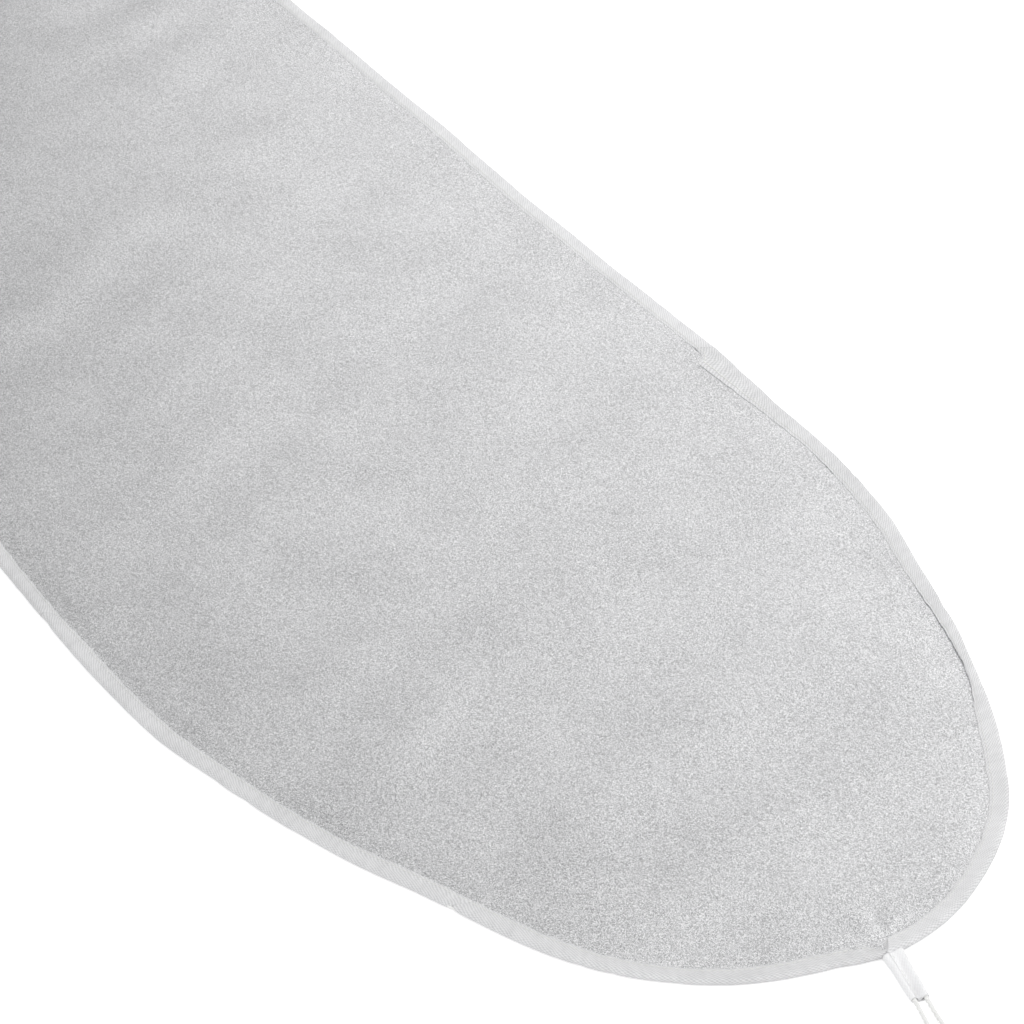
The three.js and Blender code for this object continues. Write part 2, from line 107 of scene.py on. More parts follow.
BEAD_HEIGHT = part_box("binding_tail")[1][2] / MM
BEAD_RADIUS = BEAD_HEIGHT / 2
LOWER_LIP = THREAD + 2 * LAYER_GAP
HEM_FOAM = LOWER_LIP + TAPE + LAYER_GAP
HEM_CLOTH = HEM_FOAM + PRESSED_FOAM + LAYER_GAP
UPPER_LIP = HEM_CLOTH + CLOTH + LAYER_GAP
FLAT_CLOTH = FOAM + LAYER_GAP
print("cover", round(X_NOSE - X_TAIL), "x", round(2 * HALF_WIDTH), "mm, hem", round(BEAD_HEIGHT, 2), "mm high")

# %% [markdown]
# ## The outline
# The outline is arcs and straight sides, one after the other from the nose tip round by the right side. Each stretch
# is kept as its length, and a function that gives points and outward directions at distances along it.

# %% Outline
def arc(x, y, radius, start, stop):
    def place(along):
        angle = start + along / radius
        outward = np.stack([np.cos(angle), np.sin(angle)], -1)
        return np.array([x, y]) + radius * outward, outward
    return radius * (stop - start), place


def side(x0, x1, y):
    def place(along):
        x = x0 + math.copysign(1, x1 - x0) * along
        outward = np.zeros(along.shape + (2,)) + (0, math.copysign(1, y))
        return np.stack([x, np.full_like(along, y)], -1), outward
    return abs(x1 - x0), place


def outline_stretches():
    nose_x = X_NOSE - NOSE_RADIUS
    flank_y = HALF_WIDTH - FLANK_RADIUS
    flank_x = nose_x - math.sqrt((FLANK_RADIUS - NOSE_RADIUS) ** 2 - flank_y ** 2)
    nose_turn = math.atan2(-flank_y, nose_x - flank_x)
    corner_y = HALF_WIDTH - TAIL_CORNER_RADIUS
    end_x = X_TAIL + TAIL_END_RADIUS
    corner_x = end_x - math.sqrt((TAIL_END_RADIUS - TAIL_CORNER_RADIUS) ** 2 - corner_y ** 2)
    end_turn = math.atan2(corner_y, end_x - corner_x)
    quarter = math.pi / 2
    return [
        arc(nose_x, 0, NOSE_RADIUS, 0, nose_turn),
        arc(flank_x, flank_y, FLANK_RADIUS, nose_turn, quarter),
        side(flank_x, corner_x, HALF_WIDTH),
        arc(corner_x, corner_y, TAIL_CORNER_RADIUS, quarter, math.pi - end_turn),
        arc(end_x, 0, TAIL_END_RADIUS, math.pi - end_turn, math.pi + end_turn),
        arc(corner_x, -corner_y, TAIL_CORNER_RADIUS, math.pi + end_turn, 3 * quarter),
        side(corner_x, flank_x, -HALF_WIDTH),
        arc(flank_x, -flank_y, FLANK_RADIUS, 3 * quarter, math.tau - nose_turn),
        arc(nose_x, 0, NOSE_RADIUS, math.tau - nose_turn, math.tau),
    ]


STRETCHES = outline_stretches()
PERIMETER = sum(length for length, place in STRETCHES)
print("edge", round(PERIMETER), "mm round, in", len(STRETCHES), "stretches")

# %% [markdown]
# ## The edge as one line
# Cloth, foam, tape, stitches and cord all follow the same edge. So one function gives its points and outward
# directions at any distance from the nose tip, and every layer is that line, moved inwards by its own inset. A sewn
# edge drifts a few millimetres off its arcs: it is drawn in where the tape is joined, and the tab pulls the tip out.
# The drift is a short table of places and offsets, read with soft steps. Places right of the tip are positive.

# %% Edge line
EDGE_DRIFT = (
    (-760, 0.0), (-660, -0.7), (-590, -1.0), (-545, -1.5), (-500, -0.7), (-432, 1.3), (-392, -0.5), (-350, -0.3),
    (-310, -1.0), (-290, -1.2), (-250, -3.3), (-210, -1.0), (-176, 1.6), (-130, 0.6), (-76, 0.8), (-28, -0.8),
    (-6, 3.0), (8, 4.4), (30, 4.0), (60, 2.5), (84, 0.9), (104, 0.5), (150, 1.3), (196, 2.6), (240, 1.8), (272, 0.4),
    (296, 0.7), (330, -0.7), (362, -1.4), (404, 1.2), (450, 0.7), (490, -0.1), (536, -3.2), (570, -1.2), (608, 0.9),
    (660, -0.2), (740, -1.7), (800, -1.7), (828, -2.9), (880, -2.0), (960, -0.1), (1020, -0.9), (1100, 0.0),
)
DRIFT_STEPS = (-10, -5, 0, 5, 10)


def from_nose(s):
    """The distance s along the edge as a place right (+) or left (-) of the nose tip."""
    return np.mod(np.asarray(s, float) + PERIMETER / 2, PERIMETER) - PERIMETER / 2


def along_edge(table, s):
    """A table of values along the edge, read at s with straight steps between."""
    return np.interp(from_nose(s), *np.transpose(table))


def drift(s):
    """How far the sewn edge stands outside its arcs at s, in mm."""
    return np.mean([along_edge(EDGE_DRIFT, s + step) for step in DRIFT_STEPS], axis=0)


def edge(s):
    """Points of the edge and outward directions at the distances s, in mm."""
    s = np.mod(np.asarray(s, float), PERIMETER)
    points = np.zeros(s.shape + (2,))
    outward = np.zeros(s.shape + (2,))
    start = 0.0
    for length, place in STRETCHES:
        here = (s >= start) & (s <= start + length)
        points[here], outward[here] = place(s[here] - start)
        start += length
    return points + drift(s)[..., None] * outward, outward


print("drift at the tab", round(float(drift(0.0)), 1), "mm")

# %% [markdown]
# ## Helpers for meshes
# Most pieces are sweeps: a section carried along a line. One function joins rings of points into quads, writes a UV
# map in metres, turns the faces outwards and links the object. UVs in real sizes let a weave keep its thread spacing
# however the piece bends.

# %% Mesh helpers
MERGE_DISTANCE = 0.01 * MM


def smooth_step(x):
    x = np.clip(x, 0, 1)
    return x * x * (3 - 2 * x)


def lengths_along(points):
    """Distance along a line of points, starting at 0."""
    steps = np.linalg.norm(np.diff(points, axis=0), axis=1)
    return np.concatenate([[0], np.cumsum(steps)])


def finish_mesh(name, mesh, material):
    built = bmesh.new()
    built.from_mesh(mesh)
    bmesh.ops.remove_doubles(built, verts=built.verts, dist=MERGE_DISTANCE)
    bmesh.ops.recalc_face_normals(built, faces=built.faces)
    built.to_mesh(mesh)
    built.free()
    mesh.polygons.foreach_set("use_smooth", [True] * len(mesh.polygons))
    mesh.materials.append(material)
    piece = bpy.data.objects.new(name, mesh)
    scene.collection.objects.link(piece)
    return piece


def swept_faces(rows, columns, looped=False, capped=True):
    faces = []
    for i in range(rows if looped else rows - 1):
        here, there = i * columns, (i + 1) % rows * columns
        for k in range(columns):
            nearby = (k + 1) % columns
            faces.append((here + k, here + nearby, there + nearby, there + k))
    if capped and not looped:
        faces.append(tuple(range(columns)))
        faces.append(tuple(range((rows - 1) * columns, rows * columns)))
    return faces


def sweep(name, rings, material, looped=False, capped=True):
    """A piece from rings of points in mm, shaped (rings, points, 3), with UVs in metres."""
    rings = np.asarray(rings) * MM
    rows, columns = rings.shape[:2]
    faces = swept_faces(rows, columns, looped, capped)
    mesh = bpy.data.meshes.new(name)
    mesh.from_pydata(rings.reshape(-1, 3).tolist(), [], faces)
    along = lengths_along(rings.mean(axis=1))
    around = lengths_along(np.concatenate([rings[0], rings[0][:1]]))
    uv = mesh.uv_layers.new(name="metres")
    corner = 0
    for face in faces:
        for index in face:
            row, column = divmod(index, columns)
            wraps = column == 0 and len(face) == 4 and columns - 1 in [i % columns for i in face]
            uv.data[corner].uv = (along[row], around[columns] if wraps else around[column])
            corner += 1
    return finish_mesh(name, mesh, material)


print("mesh helpers ready")

# %% [markdown]
# ## Helpers for materials
# Colours are written as sRGB hex values, as a colour picker shows them, and one function turns them to the linear
# values that the shaders use. One function adds a node with its settings, its colour stops and its inputs, each
# filled with a value or linked to a socket. So a finish reads as a short list, from its pattern to its shader.

# %% Material helpers
def linear(hex_colour):
    """An sRGB hex colour as linear RGBA."""
    values = [int(hex_colour[i:i + 2], 16) / 255 for i in (1, 3, 5)]
    return [v / 12.92 if v <= 0.04045 else ((v + 0.055) / 1.055) ** 2.4 for v in values] + [1.0]


def fill(tree, made, inputs):
    """Fill a node's inputs with values, or link them to sockets."""
    for key, value in inputs.items():
        if isinstance(value, bpy.types.NodeSocket):
            tree.links.new(value, made.inputs[key])
        else:
            made.inputs[key].default_value = value


def node(tree, kind, inputs=None, stops=(), **settings):
    """One node with its settings, its colour stops and its inputs."""
    made = tree.nodes.new(kind)
    for key, value in settings.items():
        setattr(made, key, value)
    for index, (position, colour) in enumerate(stops):
        made.color_ramp.elements[index].position = position
        made.color_ramp.elements[index].color = linear(colour)
    fill(tree, made, inputs or {})
    return made


def start_material(name):
    """A new material with its tree emptied down to one Principled shader and the output."""
    material = bpy.data.materials.new(name)
    material.use_nodes = True
    tree = material.node_tree
    tree.nodes.clear()
    shader = node(tree, "ShaderNodeBsdfPrincipled")
    node(tree, "ShaderNodeOutputMaterial", {"Surface": shader.outputs["BSDF"]})
    return material, tree, shader


def per_metre(size_mm):
    """A texture scale that repeats about once in this many millimetres."""
    return 1 / (size_mm * MM)


print("white is", [round(v, 2) for v in linear("#ffffff")])

# %% [markdown]
# ## Metallised cotton
# The face is plain cotton with a thin aluminium coating under lacquer. Each thread crossing catches the light by
# itself, so the eye sees a soft silver grey, broken into fine sparkle, and never a mirror. The thread crossings are
# about 0.4 mm apart, just under a pixel here, so the grain keeps its real size and its tones are drawn stronger. Each
# grain gets its own tone and gloss from a Voronoi cell, and a slight tilt from a bump. The tone is partly the weave's
# grain and partly painted sparkle: bright and dark grains stand in for crossings that catch the light and ones that
# don't. Wide, faint blotches are where the coating is a little thicker.

# %% Metallised cotton
GRAIN = 0.4
BLOTCH = 70.0
BLOTCH_SHARE = 0.2


def metallised_cotton():
    material, tree, shader = start_material("metallised cotton")
    place = node(tree, "ShaderNodeTexCoord").outputs["Object"]
    grain = node(tree, "ShaderNodeTexVoronoi", {"Vector": place, "Scale": per_metre(GRAIN)})
    grain_and_painted_sparkle = node(tree, "ShaderNodeSeparateColor", {"Color": grain.outputs["Color"]})
    blotch = node(tree, "ShaderNodeTexNoise", {"Vector": place, "Scale": per_metre(BLOTCH), "Detail": 3.0})
    toned = node(tree, "ShaderNodeMix", {
        0: BLOTCH_SHARE, 2: grain_and_painted_sparkle.outputs["Red"], 3: blotch.outputs["Fac"]}, data_type="FLOAT")
    # Dark to bright silver for each grain: the weave's grain together with painted sparkle.
    ramp = node(tree, "ShaderNodeValToRGB", {"Fac": toned.outputs[0]}, stops=((0.045, "#8e8e90"), (0.955, "#fefeff")))
    gloss = node(tree, "ShaderNodeMapRange", {
        "Value": grain_and_painted_sparkle.outputs["Green"], "To Min": 0.4, "To Max": 0.56})
    tilt = node(tree, "ShaderNodeBump", {
        "Height": grain_and_painted_sparkle.outputs["Red"], "Strength": 0.22, "Distance": 0.15 * MM})
    fill(tree, shader, {
        "Base Color": ramp.outputs["Color"], "Metallic": 0.85, "Roughness": gloss.outputs["Result"],
        "Normal": tilt.outputs["Normal"]})
    return material


COTTON = metallised_cotton()
print(COTTON.name, "with", len(COTTON.node_tree.nodes), "nodes")

# %% [markdown]
# ## Bias tape
# The binding is off-white cotton tape cut on the bias, so its threads run at an angle to the edge and show as fine
# slanting ribs. They come from the UV map: two waves at plus and minus the thread angle, one stronger than the other.
# Sewing stretches the tape, so its threads lie at 33 degrees to its length instead of 45. Real threads are 0.35 mm
# apart, and the ribs are drawn at 1.5 mm, as wide as they look in the photograph. A wave texture repeats every
# 2 pi / 20 of its scale. Sewing also gathers the tape, so noise stretched along the bias adds small puckers across
# it, 3.5 mm apart; they raise a bump and also tint the tape, as painted shade of the puckers. All strips are one tape
# in three tones of painted light and shade: the right side and the tail take the paler copy, the left side the greyer
# copy with painted shade, and the nose's right strip the one between. The tab is of the same tape in a whiter copy,
# pressed flat, so its ribs are fainter.

# %% Bias tape
RIB = 1.5
WAVE_REPEAT = math.tau / 20
SECOND_RIBS = 0.35
PUCKER = 3.5
SOIL = 35.0
BIAS = math.radians(40)
THREAD_TURN = math.radians(57)
RELIEF = 0.55
PRESSED_RELIEF = 0.14


def bias_tape(name, dark, light, relief):
    material, tree, shader = start_material(name)
    uv = node(tree, "ShaderNodeUVMap", uv_map="metres").outputs["UV"]
    ribs = []
    for turn in (THREAD_TURN, -THREAD_TURN):
        turned = node(tree, "ShaderNodeMapping", {"Vector": uv, "Rotation": (0, 0, turn)})
        ribs.append(node(tree, "ShaderNodeTexWave", {
            "Vector": turned.outputs["Vector"], "Scale": per_metre(RIB) * WAVE_REPEAT, "Distortion": 3.2,
            "Detail": 2.0, "Detail Scale": 1.2}))
    weave = node(tree, "ShaderNodeMix", {
        0: SECOND_RIBS, 2: ribs[0].outputs["Fac"], 3: ribs[1].outputs["Fac"]}, data_type="FLOAT")
    stretched = node(tree, "ShaderNodeMapping", {
        "Vector": uv, "Rotation": (0, 0, -BIAS / 2), "Scale": (PUCKER * MM, 4 * PUCKER * MM, 1)},
        vector_type="TEXTURE")
    puckers_with_painted_shade = node(tree, "ShaderNodeTexNoise", {"Vector": stretched.outputs["Vector"], "Scale": 1.0, "Detail": 2.0})
    place = node(tree, "ShaderNodeTexCoord").outputs["Object"]
    soil = node(tree, "ShaderNodeTexNoise", {"Vector": place, "Scale": per_metre(SOIL), "Detail": 3.0})
    # The puckers tint the tape as well as raise it: painted shade and light of the puckers, mixed with soil noise.
    uneven = node(tree, "ShaderNodeMix", {
        0: 0.4, 2: puckers_with_painted_shade.outputs["Fac"], 3: soil.outputs["Fac"]}, data_type="FLOAT")
    tone = node(tree, "ShaderNodeMix", {0: 0.55, 2: weave.outputs[0], 3: uneven.outputs[0]}, data_type="FLOAT")
    ramp = node(tree, "ShaderNodeValToRGB", {"Fac": tone.outputs[0]}, stops=((0.2, dark), (0.75, light)))
    height = node(tree, "ShaderNodeMix", {
        0: 0.7, 2: weave.outputs[0], 3: puckers_with_painted_shade.outputs["Fac"]}, data_type="FLOAT")
    bump = node(tree, "ShaderNodeBump", {
        "Height": height.outputs[0], "Strength": relief, "Distance": 0.35 * MM})
    fill(tree, shader, {
        "Base Color": ramp.outputs["Color"], "Roughness": 0.85, "Sheen Weight": 0.15,
        "Normal": bump.outputs["Normal"]})
    return material


# One tape in three tones: the paler copy is painted light, the greyer copy painted shade, the middle one between.
TAPE_CLOTHS = {
    "painted_lit": bias_tape("bias-cut cotton tape, painted lit tone", "#d1d1d2", "#fbfbfc", RELIEF),
    "middle": bias_tape("bias-cut cotton tape", "#c9c9ca", "#f3f3f4", RELIEF),
    "painted_shade": bias_tape("bias-cut cotton tape, painted shade tone", "#c3c3c4", "#ececed", RELIEF),
}
TAB_CLOTH = bias_tape("pressed cotton tape", "#f2f2f3", "#fdfdfe", PRESSED_RELIEF)
print(len(TAPE_CLOTHS), "tapes and", TAB_CLOTH.name)

# %% [markdown]
# ## Foam, thread, cord and tie
# The backing is open-cell polyurethane foam: pale cream, fully matt, with pores under a millimetre, drawn darker as
# painted shade inside the holes. The thread is spun polyester with a soft shine. The cord is twisted cotton, its
# three plies are modelled, and the material adds the loose fibres. The ties are wire in white plastic, the one smooth
# surface on the part.

# %% Foam, thread, cord and tie
PORE = 0.8
FIBRE = 0.35
MOTTLE = 1.5


def open_cell_foam():
    material, tree, shader = start_material("open-cell polyurethane foam")
    place = node(tree, "ShaderNodeTexCoord").outputs["Object"]
    pores_with_painted_shade = node(tree, "ShaderNodeTexVoronoi", {"Vector": place, "Scale": per_metre(PORE)}).outputs["Distance"]
    ramp = node(tree, "ShaderNodeValToRGB", {"Fac": pores_with_painted_shade}, stops=((0.05, "#d2ccba"), (0.45, "#f1eee3")))
    bump = node(tree, "ShaderNodeBump", {"Height": pores_with_painted_shade, "Strength": 0.6, "Distance": 0.3 * MM})
    fill(tree, shader, {
        "Base Color": ramp.outputs["Color"], "Roughness": 0.95, "Normal": bump.outputs["Normal"]})
    return material


def fibrous(name, dark, light, roughness, sheen):
    """Yarn-like finish: fine noise in tone and bump."""
    material, tree, shader = start_material(name)
    place = node(tree, "ShaderNodeTexCoord").outputs["Object"]
    fibres = node(tree, "ShaderNodeTexNoise", {
        "Vector": place, "Scale": per_metre(FIBRE), "Detail": 3.0}).outputs["Fac"]
    ramp = node(tree, "ShaderNodeValToRGB", {"Fac": fibres}, stops=((0.25, dark), (0.75, light)))
    bump = node(tree, "ShaderNodeBump", {"Height": fibres, "Strength": 0.4, "Distance": 0.1 * MM})
    fill(tree, shader, {
        "Base Color": ramp.outputs["Color"], "Roughness": roughness, "Sheen Weight": sheen,
        "Normal": bump.outputs["Normal"]})
    return material


def coated_wire():
    material, tree, shader = start_material("white polyethylene-coated wire")
    place = node(tree, "ShaderNodeTexCoord").outputs["Object"]
    mottle = node(tree, "ShaderNodeTexNoise", {"Vector": place, "Scale": per_metre(MOTTLE), "Detail": 2.0})
    ramp = node(tree, "ShaderNodeValToRGB", {"Fac": mottle.outputs["Fac"]}, stops=((0, "#e9e9e7"), (1, "#f8f8f6")))
    fill(tree, shader, {"Base Color": ramp.outputs["Color"], "Roughness": 0.38, "IOR": 1.51})
    return material


FOAM_BACKING = open_cell_foam()
SEWING_THREAD = fibrous("spun polyester thread", "#e6e6e3", "#f6f6f4", 0.55, 0.1)
COTTON_CORD = fibrous("twisted cotton cord", "#eeeeec", "#fcfcfb", 0.85, 0.2)
TIE_PLASTIC = coated_wire()
print("finishes:", [m.name for m in (FOAM_BACKING, SEWING_THREAD, COTTON_CORD, TIE_PLASTIC)])

# %% [markdown]
# ## How the cover lies
# A foam-backed cover comes folded across in its packet, and laid out it keeps soft slanting ridges, higher towards
# the nose. Foam and cloth rise together by a millimetre or two, lie on the floor between the ridges, and are held
# down by the sewn hem. A cloth simulation would give the same few waves with less control, so the lift is a sum of
# soft waves, worked out at any point of the sheet.

# %% Ridges
RIDGE_HEIGHT = 1.1
RIDGES = ((112.0, 0.0), (171.0, 2.1), (76.0, 4.4))  # wavelength, phase
RIDGE_SLANT = 0.4
RIDGE_BENDS = ((22.0, 260.0, 95.0, 0.0), (9.0, math.inf, 41.0, 1.3))  # size, length in x, length in y, phase
RIDGE_SHARES = ((-50.0, 0.65), (500.0, 1.2))  # x, share of the height
PATCHES = ((137.0, 88.0), (-210.0, 63.0))  # length in x, length in y
PATCH_DEPTH = 0.4
BILLOW = 1.1
BILLOW_WAVES = 0.55
FLOOR_ROUNDING = 0.1
HELD_INSET = 18.0
HELD_FADE = 70.0


def ridge_lift(x, y, inset):
    """Height of the soft ridges: none at the hem, and flat on the floor in their valleys."""
    bends = sum(size * np.sin(x / in_x + y / in_y + phase) for size, in_x, in_y, phase in RIDGE_BENDS)
    along = x + RIDGE_SLANT * y + bends
    waves = sum(np.sin(math.tau * along / length + phase) for length, phase in RIDGES)
    patch = 1 - PATCH_DEPTH + PATCH_DEPTH * np.prod([np.sin(x / in_x + y / in_y) for in_x, in_y in PATCHES], axis=0)
    billow = BILLOW + BILLOW_WAVES * waves * patch
    height = RIDGE_HEIGHT * (billow + np.sqrt(billow ** 2 + FLOOR_ROUNDING)) / 2
    return height * smooth_step((inset - HELD_INSET) / HELD_FADE) * np.interp(x, *np.transpose(RIDGE_SHARES))


print("ridges from", len(RIDGES), "waves")

# %% [markdown]
# ## Gathers at the tab
# Near the tab the drawn cord gathers the cloth into small pleats, which fan out from the tab's root, and pulls a few
# sharp folds into it. They are added to the ridges by formula too, because each has its own place in the photograph.

# %% Gathers and folds
TIP_PULL = 4.0
TAB_ROOT = np.array([X_NOSE + TIP_PULL, TAB_OFFSET])
GATHER_HEIGHT = 0.42
GATHER_MIDDLE = 18.0
GATHER_REACH = 18.0
GATHER_PLEATS = 9
GATHER_PHASE = 0.8
GATHER_INSET = 11.0
GATHER_FADE = 6.0
FOLDS = (
    ((644.0, -15.0), (658.0, 2.5), 0.75), ((639.0, -3.0), (655.5, 6.0), 0.4), ((646.0, -30.0), (655.0, -8.0), 0.4),
)  # start, end, height
FOLD_WIDTH = 2.2
FOLD_LINE = 0.6
FOLD_LINE_DEPTH = 0.95
FOLD_FADE = 0.4


def fold_height(xy, start, end, height):
    """A low fold along a line, with a sharp crease down its middle."""
    start, run = np.array(start), np.subtract(end, start)
    share = np.clip((xy - start) @ run / (run @ run), 0, 1)
    off = np.linalg.norm(xy - start - share[..., None] * run, axis=-1)
    line = 1 - FOLD_LINE_DEPTH * np.exp(-(off / FOLD_LINE) ** 2)
    return height * smooth_step(share / FOLD_FADE) * np.exp(-(off / FOLD_WIDTH) ** 2) * line


def gather_height(xy, inset):
    """Small pleats that fan out from the tab's root."""
    away = xy - TAB_ROOT
    far = np.linalg.norm(away, axis=-1)
    turn = np.arctan2(away[..., 1], -away[..., 0])
    pleats = 1 + np.cos(GATHER_PLEATS * turn + GATHER_PHASE)
    near = np.exp(-((far - GATHER_MIDDLE) / GATHER_REACH) ** 2)
    return GATHER_HEIGHT * near * pleats * smooth_step((inset - GATHER_INSET) / GATHER_FADE)


def lift(xy, inset):
    """Height of the sheet above its flat place, in mm, at points xy that lie this far inside the edge."""
    folds = sum(fold_height(xy, *fold) for fold in FOLDS)
    return ridge_lift(xy[..., 0], xy[..., 1], inset) + gather_height(xy, inset) + folds


print(len(FOLDS), "folds and", GATHER_PLEATS, "pleats a turn at the tab")

# %% [markdown]
# ## Plan of the sheet
# The sheet's mesh is made of rings that follow the edge, so the hem's slope is clean all round, and the rings close
# in on a line along the middle. They are closest at the hem and at the nose, where the small forms are.

# %% Plan of the sheet
STATION_STEP = 5.0
NOSE_STEP = 1.0
NOSE_REACH = 42.0
RAW_EDGE = 3.7
SLOPE_START = BINDING_WIDTH + TAPE
SLOPE_END = SLOPE_START + 12
EDGE_INSETS = (
    RAW_EDGE, 5.0, 6.0, 7.0, 8.0, 9.2, SLOPE_START, 11.3, 12.2, 13.1, 14.1, 15.0, 16.0, 17.6, 19.4, 21.0, 23.0, 25.0,
    27.5, 30.0,
)
INNER_RINGS = 28
SPINE_TAIL = -430.0
NEARLY_ZERO = 1e-6

far_count = round((PERIMETER - 2 * NOSE_REACH) / STATION_STEP)
stations = np.concatenate([np.arange(-NOSE_REACH, NOSE_REACH, NOSE_STEP),
                           np.linspace(NOSE_REACH, PERIMETER - NOSE_REACH, far_count, endpoint=False)])


def spine_points():
    """Where each station's line inwards ends, on the cover's middle line."""
    points, outward = edge(stations)
    level = np.abs(outward[:, 1]) < NEARLY_ZERO
    crossing = points[:, 0] - outward[:, 0] * points[:, 1] / np.where(level, 1.0, outward[:, 1])
    nose_side = points[:, 0] > 0
    centre = X_NOSE - NOSE_RADIUS
    x = np.where(nose_side, np.clip(crossing, None, centre), np.maximum(points[:, 0], SPINE_TAIL))
    x = np.where(level, np.where(nose_side, centre, SPINE_TAIL), x)
    return np.stack([x, np.zeros_like(x)], -1)


def sheet_rings():
    """Plan of the sheet: rings of points from the raw edge inwards, and each ring's inset."""
    points, outward = edge(stations)
    rings = [points - inset * outward for inset in EDGE_INSETS]
    insets = [np.full(len(stations), inset) for inset in EDGE_INSETS]
    last, spine = rings[-1], spine_points()
    reach = np.linalg.norm(last - spine, axis=1)
    for share in np.arange(1, INNER_RINGS + 1) / INNER_RINGS:
        rings.append(last * (1 - share) + spine * share)
        insets.append(EDGE_INSETS[-1] + share * reach)
    return np.array(rings), np.array(insets)


PLAN, PLAN_INSETS = sheet_rings()
SHEET_LIFT = lift(PLAN, PLAN_INSETS)
print("sheet of", PLAN.shape[0], "rings with", PLAN.shape[1], "points each")

# %% [markdown]
# ## Cloth and foam
# Both layers are the same plan at different heights: low where the hem presses them, and sloping up to the flat
# middle. Each layer's underside is the plan again, which makes a thin closed shell.

# %% Cloth and foam
def slope(inset):
    """How far the sheet has risen from the hem to this inset, from 0 to 1."""
    return smooth_step((inset - SLOPE_START) / (SLOPE_END - SLOPE_START))


def surface(flat_z, hem_z):
    """The plan's rings raised to one face of a layer: low in the hem, sloping up to the flat middle."""
    z = hem_z + (flat_z - hem_z) * slope(PLAN_INSETS) + SHEET_LIFT
    return np.concatenate([PLAN, z[..., None]], -1)


def layer(name, low, high, material):
    return sweep(name, np.concatenate([surface(*low)[::-1], surface(*high)]), material, capped=False)


foam = layer("foam_backing", (0.0, HEM_FOAM), (FOAM, HEM_FOAM + PRESSED_FOAM), FOAM_BACKING)
cloth = layer("cloth_face", (FLAT_CLOTH, HEM_CLOTH), (FLAT_CLOTH + CLOTH, HEM_CLOTH + CLOTH), COTTON)

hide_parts("top_cloth")
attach(cloth, "cover")
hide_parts("foam_layer")
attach(foam, "cover")

# %% [markdown]
# ## The hem's unevenness
# A hem sewn by machine is never quite even, and that tells it from a drawn line. Its faults are kept as short tables
# along the edge: where the upper lip is rolled narrow or spreads out before a join, where its inner edge stands off
# the cloth, where the tape is puckered or creased, and where the outer edge has a notch. Soft uneven waves, each with
# its own seed, keep the stretches between from looking ruled.

# %% Tables of the hem
LIP_CHANGE = (
    (-660, 0.0), (-620, -1.0), (-560, -1.0), (-535, 0.3), (-300, 0.2), (-285, 1.1), (-160, 1.1), (-145, 0.3),
    (-95, 0.3), (-80, 0.6), (-26, 0.7), (-9, 2.2), (-3, 0.6), (4, -1.6), (9, 0.0), (150, 0.2), (170, 0.8), (205, 0.8),
    (222, -0.6), (248, -3.8), (270, -4.2), (296, -2.2), (330, -0.6), (370, 0.4), (410, 0.9), (500, 1.0), (540, 2.0),
    (560, 4.8), (600, 9.3), (606, 9.9), (610, 4.4), (614, 1.7), (622, 1.0), (950, 1.1), (1000, 0.5), (1040, 0.0),
)  # place, mm wider
LIP_FLARE = (
    (-70, -0.08), (-20, -0.04), (-12, 0.2), (-7, 0.6), (3, 0.7), (8, 0.1), (30, -0.08), (224, -0.05), (231, 0.45),
    (258, 0.95), (285, 0.55), (325, 0.3), (345, -0.05), (390, -0.14), (460, -0.1), (467, 0.35), (474, -0.06),
    (550, -0.06), (570, 0.0), (600, 0.0), (608, -0.06), (640, -0.16),
)  # place, mm higher
PUCKERED = (
    (-90, 1.0), (-60, 2.0), (-12, 3.0), (12, 1.0), (280, 1.0), (310, 2.6), (370, 2.6), (400, 1.0), (570, 1.0),
    (586, 2.6), (604, 2.6), (625, 1.0),
)  # place, times the puckers' height
NOTCHES = (
    (-564, 6.0, 0.7), (-392, 6.0, 0.5), (-366, 6.0, 0.6), (-322, 8.0, 0.3), (-228, 4.0, 0.8), (-152, 3.0, 0.5),
    (-136, 3.0, 0.4), (-106, 5.0, 0.4), (-22, 6.0, 0.6), (316, 6.0, 0.6), (456, 4.0, 0.5), (584, 7.0, 0.4),
    (720, 12.0, 0.4),
)  # place, length, depth
CREASES = (
    (-17.5, 1.3, 6.5, 3.0, 0.55), (-10.0, 3.6, 8.7, 1.2, 0.6), (-4.0, 4.0, 6.2, 0.8, 0.7), (3.5, 2.5, 7.0, 2.0, 0.9),
    (-29.0, 1.6, 6.0, 3.0, 0.3), (-24.0, 5.0, 4.6, 0.9, 0.35), (-41.0, 2.0, 5.2, 2.6, 0.25),
    (468.0, 2.5, 8.6, 0.9, 0.4), (612.0, 3.0, 6.4, 0.9, 0.5), (605.0, 2.2, 8.8, 0.9, 0.4),
    (594.0, 2.4, 8.4, 1.0, -0.35), (600.0, 1.8, 6.4, 0.9, -0.3), (587.0, 1.8, 6.8, 1.0, 0.25),
)  # place, length, inset, width, depth
WANDER = (0.18, (61, 83, 140), 3)  # size, wavelengths, seed
SHIVER = (0.072, (15, 19, 24), 4)
FLARE_WAVES = (0.5, (9, 13, 31), 5)
SWELL = (0.16, (27, 38, 52), 6)
PUCKERS = (0.05, (4.3, 5.9, 8.7), 8)
LIP_WAVER = (0.35, (11, 17, 26), 9)


def waver(s, size, wavelengths, seed, period=PERIMETER):
    """A soft uneven wave of about this size: one sine for each wavelength, with phases from the seed."""
    phases = np.random.default_rng(seed).uniform(0, math.tau, len(wavelengths))
    total = np.zeros(np.shape(s))
    for wavelength, phase in zip(wavelengths, phases):
        if period:
            wavelength = period / max(1, round(period / wavelength))
        total = total + np.sin(math.tau * np.asarray(s) / wavelength + phase)
    return size * total / math.sqrt(2 * len(wavelengths))


print(len(NOTCHES), "notches and", len(CREASES), "creases in the hem")

